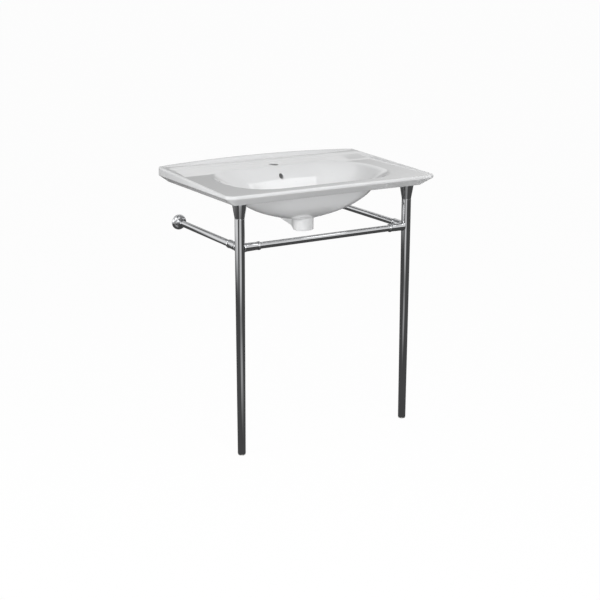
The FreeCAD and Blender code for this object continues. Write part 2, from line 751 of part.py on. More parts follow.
def ring(label, x, y, along, way):
    """The ring at a socket's mouth, with chamfered edges."""
    start, end = d.socket_reach * way, (d.socket_reach + d.ring_width) * way
    bore = d.bar_radius + d.fitting_gap
    low = d.ring_radius - d.ring_chamfer
    turned(label, [
        (bore, start), (low, start), (d.ring_radius, start + d.ring_chamfer * way),
        (d.ring_radius, end - d.ring_chamfer * way), (low, end), (bore, end),
    ], x, y, bars, along)


def socket_grub(label, x, y):
    """A set screw under a socket, its flat end on the bar."""
    bottom = d.grub_sink - socket_outside(grub_place())
    turned(label, tube(0, d.grub_radius, bottom, -d.bar_radius), x, y, bars)


def front_bar():
    half = leg_spacing / 2 - d.socket_reach + d.socket_grip
    turned("front_bar", tube(d.bar_radius - d.bar_wall, d.bar_radius, -half, half), 0, -leg_back, bars, "X")


def side_bar(side, sign):
    """From its socket to the plate on the wall, with a hole for the set screw near the wall."""
    x = leg_axis(sign)[0]
    front = -leg_back + d.socket_reach - d.socket_grip
    body = turned("side_bar_" + side, tube(d.bar_radius - d.bar_wall, d.bar_radius, front, -d.bracket_thick),
                  x, 0, bars, "Y")
    hole = new_sketch(body, "XY_Plane", "grub")
    circle(hole, 0, -bracket_grub_back(), d.grub_radius + d.running_gap)
    pocket(body, hole, 2 * d.bar_radius)


# ---------------------------------------------------------------------------------------------------
# Wall ends of the side bars
# ---------------------------------------------------------------------------------------------------

def bracket_grub_back():
    """How far from the wall the set screw of a side bar is, inside the round cover."""
    return d.bracket_thick + 2 * d.grub_radius


def wall_bracket(side, sign):
    """A plate on the wall with a spigot that the bar is pushed on."""
    x = leg_axis(sign)[0]
    spigot = d.bar_radius - d.bar_wall - d.fitting_gap
    thread = d.wall_stud_radius - d.stud_step
    bore = thread + d.running_gap
    plate = d.flange_radius - d.flange_skin - d.bracket_play
    end = -d.bracket_thick - d.spigot_length
    stud_end = -d.bracket_thick - d.wall_stud_grip
    body = turned("wall_bracket_" + side, [
        (bore, 0), (plate, 0), (plate, -d.bracket_thick), (spigot, -d.bracket_thick),
        (spigot, end), (0, end), (0, stud_end), (bore, stud_end),
    ], x, 0, bars, "Y")
    grub_bottom = d.grub_sink - d.bar_radius
    grub_top = grub_bottom + d.bracket_grub_length
    hole = new_sketch(body, "XY_Plane", "grub", grub_top)
    circle(hole, 0, -bracket_grub_back(), d.grub_radius + d.running_gap)
    pocket(body, hole, d.bar_radius)
    turned("wall_stud_" + side, stepped(d.wall_stud_radius, d.wall_stud_embed, thread, stud_end),
           x, 0, bars, "Y")
    turned("bracket_grub_" + side, tube(0, d.grub_radius, grub_bottom, grub_top),
           x, -bracket_grub_back(), bars)


# The round cover's dome, from its edge on the wall to its neck: distance from the bar's axis and from the
# wall, as shares of its radius and of its depth.
DOME = [(1.00, 0.00), (1.00, 0.25), (0.93, 0.58), (0.79, 0.88)]


def wall_flange(side, sign):
    """A domed round cover that slides on the bar and hides the plate."""
    x = leg_axis(sign)[0]
    bore = d.bar_radius + d.running_gap
    dome = d.flange_depth - d.flange_neck
    skin = d.flange_skin
    outside = [(d.flange_radius * out, -dome * up) for out, up in DOME]
    inside = [((d.flange_radius - skin) * out, -(dome - skin) * up) for out, up in reversed(DOME)]
    neck = [(d.flange_neck_radius, -dome), (d.flange_neck_radius, -d.flange_depth), (bore, -d.flange_depth),
            (bore, -(dome - skin))]
    turned("wall_flange_" + side, outside + neck + inside, x, 0, bars, "Y")


# ---------------------------------------------------------------------------------------------------
# What hangs the basin on the wall
# ---------------------------------------------------------------------------------------------------

def hanger(side, sign):
    """Bolt, plastic sleeve, washer and nut."""
    x = d.hanger_spacing / 2 * sign
    thread = d.hanger_radius - d.stud_step
    bore = thread + d.fitting_gap
    shell = d.hanger_hole_radius - d.fitting_gap
    collar = -d.apron_thick - d.sleeve_collar_thick
    washer = collar - d.washer_thick
    end = washer - d.nut_thick - d.hanger_spare
    turned("hanger_bolt_" + side, stepped(d.hanger_radius, d.hanger_embed, thread, end), x, 0, 0, "Y")
    turned("hanger_sleeve_" + side, [
        (bore, 0), (shell, 0), (shell, -d.apron_thick), (d.sleeve_collar_radius, -d.apron_thick),
        (d.sleeve_collar_radius, collar), (bore, collar),
    ], x, 0, 0, "Y")
    turned("hanger_washer_" + side, tube(bore, d.washer_radius, washer, collar), x, 0, 0, "Y")
    nut = new_body("hanger_nut_" + side, x, 0, 0)
    face = new_sketch(nut, "XZ_Plane", "face", -washer)
    hexagon(face, d.nut_flats)
    circle(face, 0, 0, thread + d.running_gap)
    pad(nut, face, d.nut_thick)


# ---------------------------------------------------------------------------------------------------
# The whole object
# ---------------------------------------------------------------------------------------------------

def build():
    basin("basin")
    front_bar()
    for side, sign in SIDES:
        x, y = leg_axis(sign)
        leg(side, sign)
        leg_upper_end(side, sign)
        leg_lower_end(side, sign)
        corner_socket(side, sign)
        ring("front_ring_" + side, x, y, "X", -sign)
        ring("side_ring_" + side, x, y, "Y", 1)
        socket_grub("front_grub_" + side, x - grub_place() * sign, y)
        socket_grub("side_grub_" + side, x, y + grub_place())
        side_bar(side, sign)
        wall_bracket(side, sign)
        wall_flange(side, sign)
        hanger(side, sign)


def check():
    """Stops unless every object was rebuilt and every sub-part is one sound solid."""
    for item in doc.Objects:
        if "Invalid" in item.State or "Error" in item.State:
            raise RuntimeError("%s could not be rebuilt" % item.Name)
    for body in subparts:
        if body.Shape.isNull() or not body.Shape.isValid() or len(body.Shape.Solids) != 1:
            raise RuntimeError("%s is not one sound solid" % body.Label)


def write():
    os.makedirs(OUTPUT_FOLDER, exist_ok=True)
    for body in subparts:
        body.Shape.exportStep(os.path.join(OUTPUT_FOLDER, body.Label + ".step"))
        print("%-24s %10.1f mm3" % (body.Label, body.Shape.Volume))


build()
doc.recompute()
check()
write()
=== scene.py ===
import json
import math

import bmesh
import bpy
import numpy as np
from bpy.props import FloatProperty, FloatVectorProperty, IntProperty, PointerProperty
from mathutils import Matrix, Quaternion, Vector
from mathutils.bvhtree import BVHTree


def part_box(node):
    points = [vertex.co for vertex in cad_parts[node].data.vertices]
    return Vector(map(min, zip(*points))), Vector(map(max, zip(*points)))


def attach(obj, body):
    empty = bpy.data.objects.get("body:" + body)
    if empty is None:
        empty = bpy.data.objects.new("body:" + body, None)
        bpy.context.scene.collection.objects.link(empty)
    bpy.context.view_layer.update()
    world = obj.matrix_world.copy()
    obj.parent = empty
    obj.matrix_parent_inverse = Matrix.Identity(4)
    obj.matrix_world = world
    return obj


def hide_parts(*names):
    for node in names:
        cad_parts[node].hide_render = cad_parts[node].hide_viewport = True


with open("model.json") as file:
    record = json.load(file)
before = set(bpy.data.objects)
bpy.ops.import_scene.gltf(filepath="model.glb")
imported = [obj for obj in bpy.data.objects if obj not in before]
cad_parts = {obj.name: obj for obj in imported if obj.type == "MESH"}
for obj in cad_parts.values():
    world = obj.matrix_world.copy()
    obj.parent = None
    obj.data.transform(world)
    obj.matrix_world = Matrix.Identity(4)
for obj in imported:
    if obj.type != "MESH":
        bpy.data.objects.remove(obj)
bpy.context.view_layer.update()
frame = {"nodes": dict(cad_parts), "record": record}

bl_info = {
    "name": "Console sink with legs",
    "version": (1, 0, 0),
    "blender": (4, 5, 0),
    "location": "3D View > Sidebar > Sink",
    "description": "Glazed basin, chromed legs, towel bars, fittings and studio",
    "category": "Object",
}

MM = 0.001
SIDES = ("left", "right")


def middle(node, **fixed):
    """Centre of a part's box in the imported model, with an axis such as y fixed at a value."""
    low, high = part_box(node)
    centre = (low + high) / 2
    for axis, value in fixed.items():
        setattr(centre, axis, value)
    return centre


BASIN_LOW, BASIN_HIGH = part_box("basin")
LEG_LOW, LEG_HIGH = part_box("leg_left")
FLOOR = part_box("foot_sole_left")[0].z
BAR_Z = middle("front_bar").z
HANGER_X = 0.14  # middle of the basin to a hanger bolt
RING_Y = -0.26  # middle of the rings of cards round the object


def length(name, meaning, millimetres):
    return FloatProperty(name=name, description=meaning, default=millimetres * MM, unit="LENGTH",
                         precision=4)


def amount(name, meaning, value):
    return FloatProperty(name=name, description=meaning, default=value, min=0.0)


def colour(name, meaning, value):
    return FloatVectorProperty(name=name, description=meaning, default=value, subtype="COLOR",
                               size=3, min=0.0, max=1.0)


# ---------------------------------------------------------------- settings

class BasinSizes(bpy.types.PropertyGroup):
    """Heights are over the hanger bolts."""
    rim_front: length("Rim at the front", "Top of the rim at the front", 20)
    rim_back: length("Rim at the wall", "Top of the rim at the wall", 40)
    crest_rise: length("Arch", "Middle of the upstand above its two ends", 12)
    edge: length("Lower edge", "Bottom of the upright outer face", 10)
    underside: length("Underside", "Height of the flat underside", -18)
    undercut: length("Undercut", "How far the underside lies inside the outer face", 40)
    front_corner: length("Front corners", "Plan radius of the front corners", 30)
    back_corner: length("Back corners", "Plan radius of the back corners", 8)
    ceramic: length("Ceramic", "Wall of the deck and of the bowl", 12)
    rim_round: length("Rim rounding", "Rounding of the rim's outer edge", 5)
    crease_round: length("Crease rounding", "Rounding of the lower edges", 2.2)
    tap_hole: length("Tap hole", "Radius of the tap hole", 16)
    tap_back: length("Tap hole from the wall", "Wall to the centre of the tap hole", 105)
    overflow: length("Overflow", "Radius of the overflow hole", 8.5)
    overflow_z: length("Overflow level", "Centre of the overflow hole", -6.6)
    hanger_hole: length("Hanger holes", "Radius of the holes for the hanger bolts", 8)
    drain: length("Drain", "Radius of the drain's bore", 23)
    boss: length("Drain boss", "Radius of the drain boss", 31.5)
    channel: length("Overflow channel", "Width of the overflow channel behind the bowl", 56)


class FrameSizes(bpy.types.PropertyGroup):
    leg: length("Leg", "Radius of a leg above the bars", 16)
    leg_foot: length("Leg's lower end", "Radius of a leg at the floor", 13.2)
    tube_wall: length("Tube wall", "Wall of the legs' tubes", 2)
    cap_top: length("Cap", "Radius of the flared cap at its top", 23.8)
    bar: length("Bar", "Radius of the three bars", 11)
    bar_wall: length("Bar wall", "Wall of the bars' tubes", 1.5)
    socket_root: length("Socket at the leg", "Radius of a socket where it meets the leg", 14)
    socket_mouth: length("Socket's mouth", "Radius of a socket at its mouth", 13)
    socket_reach: length("Socket reach", "Leg's axis to the socket's mouth", 64)
    ring: length("Ring", "Radius of the ring at each socket's mouth", 14.2)
    ring_width: length("Ring width", "Width of that ring along the bar", 8)
    cover: length("Wall cover", "Radius of the round cover at the wall", 27)
    cover_depth: length("Wall cover depth", "How far that cover stands off the wall", 15)
    foot: length("Foot", "Radius of the levelling foot's flange", 12)
    segments: IntProperty(name="Segments", description="Faces round a turned piece", default=72,
                          min=12)


class FinishColours(bpy.types.PropertyGroup):
    glaze: colour("Glaze", "White glaze", (0.83, 0.835, 0.84))
    bisque: colour("Bare clay", "Fired clay where no glaze is", (0.72, 0.69, 0.64))
    chrome: colour("Chrome", "Polished chrome", (0.55, 0.555, 0.565))
    zinc: colour("Zinc", "Zinc-plated steel", (0.60, 0.61, 0.63))
    brass: colour("Brass", "Turned brass", (0.70, 0.55, 0.30))
    plastic: colour("Plastic", "Pale moulded plastic", (0.70, 0.70, 0.68))
    rubber: colour("Rubber", "Black rubber", (0.035, 0.035, 0.036))


class StudioSettings(bpy.types.PropertyGroup):
    background: colour("Background", "Colour behind the object", (1.0, 1.0, 1.0))
    ambient: amount("Ambient", "Strength of the even light", 0.45)
    side: amount("Side light", "Power of the soft box on the left", 23.0)
    front: amount("Front light", "Power of the soft box in front", 40.0)
    patch: amount("Patch light", "Power of the oval lamp that the bowl reflects", 1.35)
    overhead: amount("Overhead light", "Power of the soft box overhead", 8.0)
    card_top: length("Far cards", "Top of the far cards, where the deck's reflection ends", 1890)
    lens: amount("Lens", "Focal length in mm on a 36 mm sensor", 71.368)
    shift_x: FloatProperty(name="Shift across", description="Camera shift to the right",
                           default=0.0168)
    shift_y: FloatProperty(name="Shift up", description="Camera shift upward", default=-0.12)
    camera_height: length("Camera height", "Camera over the hanger bolts", 728.9)
    camera_across: length("Camera across", "Camera to the right of the sink's middle", -2054.3)
    camera_back: length("Camera to the wall", "Camera towards the wall from its face", -3717.6)
    pitch: FloatProperty(name="Pitch", description="How far the camera looks down", subtype="ANGLE",
                         default=math.radians(12.634))
    yaw: FloatProperty(name="Yaw", description="How far the camera looks to the right",
                       subtype="ANGLE", default=math.radians(30.405))


# ---------------------------------------------------------------- materials

def operator(operation, swapped=False):
    """A method for one of Python's operators on terms."""
    return lambda self, other: self.join(operation, other, swapped)


class Term:
    """A number, vector or colour in a node tree. Python's operators on it add the nodes."""

    def __init__(self, nodes, socket):
        self.nodes = nodes
        self.socket = socket

    def join(self, operation, other, swapped=False):
        """Adds a Math node, or a Vector Math node where either side is a vector or a colour."""
        pair = (other, self) if swapped else (self, other)
        kind = "ShaderNodeMath"
        if is_wide(self) or is_wide(other):
            kind = "ShaderNodeVectorMath"
            pair = [(one, one, one) if isinstance(one, (int, float)) else one for one in pair]
        return self.nodes.add(kind, {"operation": operation}, dict(enumerate(pair)))

    __add__ = operator("ADD")
    __radd__ = operator("ADD", swapped=True)
    __sub__ = operator("SUBTRACT")
    __rsub__ = operator("SUBTRACT", swapped=True)
    __mul__ = operator("MULTIPLY")
    __rmul__ = operator("MULTIPLY", swapped=True)
    __truediv__ = operator("DIVIDE")
    __gt__ = operator("GREATER_THAN")
    __lt__ = operator("LESS_THAN")

    def of(self, operation):
        """A function of one number, such as its sine."""
        return self.nodes.add("ShaderNodeMath", {"operation": operation}, {0: self})

    def between(self, low, high):
        """0 below low, 1 above high and a soft step between them."""
        return self.nodes.add("ShaderNodeMapRange", {"interpolation_type": "SMOOTHSTEP"},
                              {"Value": self, "From Min": low, "From Max": high}, "Result")

    def band(self, low, rise, fall, high):
        """1 between rise and fall, 0 outside low and high, and soft steps between them."""
        return self.between(low, rise) * (1 - self.between(fall, high))

    def axis(self, name):
        return self.nodes.add("ShaderNodeSeparateXYZ", {}, {"Vector": self}, name)


def is_wide(value):
    """Whether a value is a vector or a colour, and not one number."""
    if isinstance(value, Term):
        return value.socket.type in {"VECTOR", "RGBA"}
    return isinstance(value, tuple)


class Nodes:
    """Builder for the node tree of a material, of the world or of Geometry Nodes."""

    def __init__(self, tree):
        self.tree = tree
        tree.nodes.clear()

    def add(self, kind, settings, values, output=0):
        """Adds a node with its settings, fills or links its inputs and returns one output."""
        node = self.tree.nodes.new(kind)
        for name, value in settings.items():
            setattr(node, name, value)
        for name, value in values.items():
            for item in value if isinstance(value, list) else [value]:
                if isinstance(item, Term):
                    self.tree.links.new(item.socket, node.inputs[name])
                else:
                    node.inputs[name].default_value = item
        return Term(self, node.outputs[output]) if len(node.outputs) else None

    def place(self):
        return self.add("ShaderNodeTexCoord", {}, {}, "Object")

    def noise(self, place, scale, detail=2.0, roughness=0.5):
        return self.add("ShaderNodeTexNoise", {}, {
            "Vector": place, "Scale": scale, "Detail": detail, "Roughness": roughness}, "Fac")

    def specks(self, place, scale, size):
        """1 in small round spots, one in some of the cells, and 0 around them."""
        cells = {"Vector": place, "Scale": scale}
        distance = self.add("ShaderNodeTexVoronoi", {}, cells, "Distance")
        chance = self.add("ShaderNodeTexVoronoi", {}, cells, "Color").axis("X")
        return (1 - distance.between(size * 0.5, size)) * (chance > 0.72)

    def blend(self, share, first, second):
        """first where share is 0 and second where it is 1, for colours."""
        return self.add("ShaderNodeMix", {"data_type": "RGBA", "clamp_factor": True},
                        {0: share, 6: opaque(first), 7: opaque(second)}, 2)

    def bump(self, height, depth, strength):
        return self.add("ShaderNodeBump", {}, {
            "Height": height, "Distance": depth, "Strength": strength})

    def surface(self, values):
        """Ends a material in a Principled shader."""
        shader = self.add("ShaderNodeBsdfPrincipled", {}, {
            name: opaque(value) if isinstance(value, tuple) else value
            for name, value in values.items()})
        self.add("ShaderNodeOutputMaterial", {}, {"Surface": shader})

    def mixed(self, output, share, first, second):
        """Ends a material or the world in a mix of two shaders."""
        shown = self.add("ShaderNodeMixShader", {}, {0: share, 1: first, 2: second})
        self.add(output, {}, {"Surface": shown})

    def looked_at(self):
        """1 for what the camera sees by itself, in a reflection or through something clear."""
        seen = self.add("ShaderNodeLightPath", {}, {}, "Is Camera Ray")
        for kind in ("Is Glossy Ray", "Is Transmission Ray"):
            seen = seen.join("MAXIMUM", self.add("ShaderNodeLightPath", {}, {}, kind))
        return seen

    def piece(self, geometry, finish):
        """Ends Geometry Nodes in real geometry with one finish."""
        whole = self.add("GeometryNodeRealizeInstances", {}, {"Geometry": geometry})
        coated = self.add("GeometryNodeSetMaterial", {}, {"Geometry": whole, "Material": finish})
        self.add("NodeGroupOutput", {}, {"Piece": coated})


def opaque(value):
    """A colour of three numbers with an alpha of 1 added."""
    return value if isinstance(value, (Term, int, float)) else tuple(value)[:3] + (1.0,)


def nodes_of(owner):
    """Builder for a new material or world."""
    owner.use_nodes = True
    return Nodes(owner.node_tree)


def new_finish(name):
    return nodes_of(bpy.data.materials.new(name))


def darker(value, share):
    return tuple(channel * share for channel in value)


def white_glaze(colours):
    """Thick glossy glaze with a soft ripple, bare clay at the wall, and painted shade that turns it
    near black deep inside the holes.
    """
    finish = new_finish("white_glaze")
    place = finish.place()
    slow = finish.noise(place, 3.0, 3.0)
    mottle = finish.noise(place, 38.0, 4.0, 0.6)
    pinholes = finish.specks(place, 55.0, 0.09)
    ripple = finish.noise(place, 26.0, 2.0)
    orange_peel = finish.noise(place, 190.0, 2.0)
    smear = finish.noise(place * (1.0, 3.5, 1.0), 7.0, 5.0, 0.65)

    bare = place.axis("Y").between(-0.0009, -0.0003)
    # Painted shade: this attribute marks how far into a hole a point lies. There the glaze is painted
    # near black, and its coat is taken off, to stand in for shade.
    inside = finish.add("ShaderNodeAttribute", {"attribute_name": "hole_depth"}, {}, "Fac")
    clay_grain = finish.noise(place, 420.0, 5.0, 0.7)

    tint = finish.blend(slow.between(0.35, 0.7), colours.glaze, darker(colours.glaze, 0.985))
    tint = finish.blend(mottle.between(0.55, 0.8) * 0.25, tint, darker(colours.glaze, 0.955))
    tint = finish.blend(pinholes * 0.30, tint, (0.42, 0.40, 0.37))
    clay = finish.blend(clay_grain, darker(colours.bisque, 0.9), colours.bisque)
    height = ripple * 0.10 + orange_peel * 0.02 - pinholes * 0.10 + clay_grain * bare * 0.5
    glossy = 0.055 + smear.between(0.5, 0.8) * 0.05 + mottle * 0.02
    finish.surface({
        # The base colour fades to near black inside the holes: painted shade, not the glaze's own
        # colour.
        "Base Color": finish.blend(inside, finish.blend(bare, tint, clay), (0.035, 0.035, 0.035)),
        "Roughness": glossy * (1 - bare) + 0.75 * bare,
        "Normal": finish.bump(height, 0.0004, 0.35),
        "Coat Weight": 0.6 * (1 - bare) * (1 - inside),
        "Coat Roughness": 0.03,
        "Specular IOR Level": 0.5,
    })


def polished_chrome(colours):
    """Mirror plating with faint wipe marks and a few dried drops."""
    finish = new_finish("polished_chrome")
    place = finish.place()
    wipe = finish.noise(place * (1.0, 1.0, 0.3), 16.0, 3.0)
    cloud = finish.noise(place, 9.0, 3.0)
    drops = finish.specks(place, 70.0, 0.16)
    tint = finish.blend(cloud.between(0.35, 0.75), colours.chrome, darker(colours.chrome, 0.93))
    finish.surface({
        "Base Color": finish.blend(drops * 0.25, tint, darker(colours.chrome, 0.8)),
        "Metallic": 1.0,
        "Roughness": 0.055 + wipe.between(0.5, 0.85) * 0.04 + drops * 0.06,
        "Normal": finish.bump(wipe, 0.0001, 0.03),
    })


def zinc_plating(colours):
    """Bluish zinc with a fine grain and duller patches."""
    finish = new_finish("zinc_plating")
    place = finish.place()
    grain = finish.noise(place, 900.0, 3.0, 0.6)
    patch = finish.noise(place, 120.0, 4.0, 0.6)
    tint = finish.blend(patch.between(0.4, 0.7), colours.zinc, (0.50, 0.50, 0.48))
    finish.surface({
        "Base Color": finish.blend(grain * 0.3, tint, (0.42, 0.43, 0.45)),
        "Metallic": 1.0,
        "Roughness": 0.26 + patch * 0.14 + grain * 0.08,
        "Normal": finish.bump(grain, 0.00008, 0.4),
    })


def turned_brass(colours):
    """Brass with tool rings and a trace of tarnish."""
    finish = new_finish("turned_brass")
    place = finish.place()
    rings = finish.add("ShaderNodeTexWave", {"wave_type": "BANDS", "bands_direction": "Z"},
                       {"Vector": place, "Scale": 620.0, "Distortion": 0.6, "Detail": 2.0},
                       "Fac")
    tarnish = finish.noise(place, 90.0, 5.0, 0.62)
    finish.surface({
        "Base Color": finish.blend(tarnish.between(0.48, 0.75), colours.brass, (0.45, 0.32, 0.16)),
        "Metallic": 1.0,
        "Roughness": 0.24 + tarnish * 0.2,
        "Normal": finish.bump(rings, 0.00006, 0.5),
    })


def moulded(name, colour, worn, share, grain, wear, roughness, rougher):
    """A matt moulding with a fine grain, and wear on it that is paler and rougher."""
    finish = new_finish(name)
    place = finish.place()
    scuff = finish.noise(place, wear, 4.0, 0.6)
    finish.surface({
        "Base Color": finish.blend(scuff.between(0.5, 0.8) * share, colour, worn),
        "Roughness": roughness + scuff * rougher,
        "Normal": finish.bump(finish.noise(place, *grain), 0.00008, 0.5),
    })


def moulded_plastic(colours):
    """Pale plastic with a fine spark-eroded grain and scuffs."""
    moulded("moulded_plastic", colours.plastic, (0.55, 0.54, 0.51), share=0.5,
            grain=(1500.0, 2.0), wear=160.0, roughness=0.48, rougher=0.15)


def black_rubber(colours):
    """Matt rubber with a little dust."""
    moulded("black_rubber", colours.rubber, (0.11, 0.11, 0.105), share=0.4,
            grain=(1100.0, 3.0, 0.6), wear=130.0, roughness=0.72, rougher=0.12)


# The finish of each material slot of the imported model.
SLOT_FINISHES = {
    "glazed_ceramic": "white_glaze",
    "chrome": "polished_chrome",
    "zinc_plated_steel": "zinc_plating",
    "brass": "turned_brass",
    "plastic": "moulded_plastic",
    "rubber": "black_rubber",
}


def finish_of(slot):
    return bpy.data.materials[SLOT_FINISHES[slot]]


# ---------------------------------------------------------------- turned pieces

def soften(corners, steps=5, most=0.48):
    """An outline's points with its corners rounded, from each one's radius, height and rounding."""
    closed = corners[0][0] > 0
    count = len(corners)
    points = []
    for number, (radius, height, rounding) in enumerate(corners):
        here = Vector((radius, height))
        if rounding == 0 or (not closed and number in (0, count - 1)):
            points.append(here)
            continue
        arms = []
        for other in (corners[number - 1], corners[(number + 1) % count]):
            arm = Vector(other[:2]) - here
            arms.append(arm.normalized() * min(rounding, arm.length * most))
        for step in range(steps + 1):
            share = step / steps
            points.append(here + arms[0] * (1 - share) ** 2 + arms[1] * share ** 2)
    if closed:
        points.append(points[0])
    return points


def geometry_tree(name, kinds):
    """A new tree of Geometry Nodes and its inputs by name, from the inputs' kinds."""
    tree = bpy.data.node_groups.new(name, "GeometryNodeTree")
    for label, kind in kinds.items():
        tree.interface.new_socket(label, in_out="INPUT", socket_type="NodeSocket" + kind)
    tree.interface.new_socket("Piece", in_out="OUTPUT", socket_type="NodeSocketGeometry")
    nodes = Nodes(tree)
    return nodes, {label: nodes.add("NodeGroupInput", {}, {}, label) for label in kinds}


def turning_tree():
    """Tree that turns an outline of points round its own height axis, in rows of a grid."""
    nodes, given = geometry_tree("turn_outline", {
        "Outline": "Geometry", "Points": "Int", "Segments": "Int", "Finish": "Material"})
    columns = given["Segments"] + 1
    grid = nodes.add("GeometryNodeMeshGrid", {}, {
        "Vertices X": given["Points"], "Vertices Y": columns})
    index = nodes.add("GeometryNodeInputIndex", {}, {})
    row = ((index + 0.5) / columns).of("FLOOR")
    angle = (index - row * columns) / given["Segments"] * (2 * math.pi)
    corner = nodes.add("GeometryNodeSampleIndex", {"data_type": "FLOAT_VECTOR"}, {
        "Geometry": given["Outline"], "Index": row,
        "Value": nodes.add("GeometryNodeInputPosition", {}, {})})
    turned = nodes.add("ShaderNodeCombineXYZ", {}, {
        "X": corner.axis("X") * angle.of("COSINE"), "Y": corner.axis("X") * angle.of("SINE"),
        "Z": corner.axis("Z")})
    placed = nodes.add("GeometryNodeSetPosition", {}, {"Geometry": grid, "Position": turned})
    merged = nodes.add("GeometryNodeMergeByDistance", {}, {"Geometry": placed, "Distance": 1e-6})
    nodes.piece(nodes.add("GeometryNodeSetShadeSmooth", {}, {"Geometry": merged}), given["Finish"])


def thread_tree():
    """Tree that winds a thread's ridge round a stud."""
    nodes, given = geometry_tree("wind_thread", {
        "Core": "Geometry", "Radius": "Float", "Ridge": "Float", "Length": "Float",
        "Turns": "Float", "Finish": "Material"})
    spiral = nodes.add("GeometryNodeCurveSpiral", {}, {
        "Resolution": 20, "Rotations": given["Turns"], "Start Radius": given["Radius"],
        "End Radius": given["Radius"], "Height": given["Length"]})
    ridge = nodes.add("GeometryNodeCurvePrimitiveCircle", {}, {
        "Resolution": 4, "Radius": given["Ridge"]})
    thread = nodes.add("GeometryNodeCurveToMesh", {}, {
        "Curve": spiral, "Profile Curve": ridge, "Fill Caps": True})
    stud = nodes.add("GeometryNodeJoinGeometry", {}, {"Geometry": [given["Core"], thread]})
    nodes.piece(stud, given["Finish"])


def grow(obj, tree, values):
    """Runs a tree on an object, with its named inputs, and keeps the result as its plain mesh."""
    modifier = obj.modifiers.new(tree.name, "NODES")
    modifier.node_group = tree
    for item in tree.interface.items_tree:
        if item.name in values:
            modifier[item.identifier] = values[item.name]
    obj.update_tag()
    bpy.context.view_layer.update()
    made = bpy.data.meshes.new_from_object(obj.evaluated_get(bpy.context.evaluated_depsgraph_get()))
    obj.modifiers.clear()
    made.materials.clear()
    made.materials.append(values["Finish"])
    made.polygons.foreach_set("material_index", [0] * len(made.polygons))
    obj.data = made


def new_object(name, points, edges=(), faces=()):
    mesh = bpy.data.meshes.new(name)
    mesh.from_pydata([tuple(p) for p in points], edges, faces)
    obj = bpy.data.objects.new(name, mesh)
    bpy.context.scene.collection.objects.link(obj)
    return obj


def point_outward(obj):
    mesh = bmesh.new()
    mesh.from_mesh(obj.data)
    bmesh.ops.recalc_face_normals(mesh, faces=mesh.faces)
    mesh.to_mesh(obj.data)
    mesh.free()


# Where an outline's height axis points: up, to the right, or towards the wall.
TURNS = {
    "Z": Matrix.Identity(4),
    "X": Matrix.Rotation(math.pi / 2, 4, "Y"),
    "Y": Matrix.Rotation(-math.pi / 2, 4, "X"),
}


def turn(name, corners, place, along, segments, slot="chrome"):
    """A turned piece. Its corners are in millimetres: radius, height and rounding."""
    outline = [Vector((p[0], 0, p[1])) * MM for p in soften(corners)]
    obj = new_object(name, outline)
    grow(obj, bpy.data.node_groups["turn_outline"], {
        "Points": len(outline), "Segments": segments, "Finish": finish_of(slot)})
    point_outward(obj)
    obj.data.transform(Matrix.Translation(place) @ TURNS[along])
    return obj


def add_thread(obj, place, along, slot, radius, ridge, start, end, pitch):
    """Winds a thread between two heights of a stud, in millimetres, on the stud's own mesh."""
    core = TURNS[along].to_3x3().to_4x4().inverted() @ Matrix.Translation(-place)
    obj.data.transform(Matrix.Translation((0, 0, -start * MM)) @ core)
    grow(obj, bpy.data.node_groups["wind_thread"], {
        "Radius": radius * MM, "Ridge": ridge * MM, "Length": (end - start) * MM,
        "Turns": (end - start) / pitch, "Finish": finish_of(slot)})
    obj.data.transform(core.inverted() @ Matrix.Translation((0, 0, start * MM)))


def settle(obj, node, body="console"):
    """Gives a finished piece its body and hides the part that it stands for."""
    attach(obj, body)
    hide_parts(node)


def in_mm(sizes, *names):
    return [getattr(sizes, name) / MM for name in names]


def turned_part(name, node, corners, place, along, segments, body="console", slot="chrome",
                threads=()):
    """A turned piece with its threads, which stands for a part."""
    obj = turn(name, corners, place, along, segments, slot)
    for thread in threads:
        add_thread(obj, place, along, slot, *thread)
    settle(obj, node, body)


# ---------------------------------------------------------------- the basin's form

def step(low, high, value):
    """0 below low, 1 above high and a soft step between."""
    share = np.clip((value - low) / (high - low), 0.0, 1.0)
    return share * share * (3.0 - 2.0 * share)


def box_distance(x, y, half, front, back, corner):
    """Distance in plan from a rounded rectangle, negative inside it."""
    reach = (back - front) / 2
    across = np.abs(x) - (half - corner)
    along = np.abs(y - (front + back) / 2) - (reach - corner)
    outside = np.hypot(np.maximum(across, 0.0), np.maximum(along, 0.0))
    return outside + np.minimum(np.maximum(across, along), 0.0) - corner


def soft_union(first, second, width):
    overlap = np.maximum(width - np.abs(first - second), 0.0) / width
    return np.minimum(first, second) - overlap * overlap * width / 4


def from_drain(directions, distance):
    """Points in plan at a distance from the drain's axis."""
    return np.stack([directions[:, 0] * distance, DRAIN_Y + directions[:, 1] * distance], 1)


def raised(plan, z):
    """Points in plan at a height, or at one height each."""
    return np.column_stack([plan, np.broadcast_to(z, len(plan))])


def ray_hits(directions, distance, furthest=600.0, halvings=44):
    """Where rays from the drain's axis leave a form that is given by its distance in plan."""
    low = np.zeros(len(directions))
    high = np.full(len(directions), furthest)
    for _ in range(halvings):
        half = (low + high) / 2
        inside = distance(*from_drain(directions, half).T) < 0
        low, high = np.where(inside, half, low), np.where(inside, high, half)
    return from_drain(directions, low)


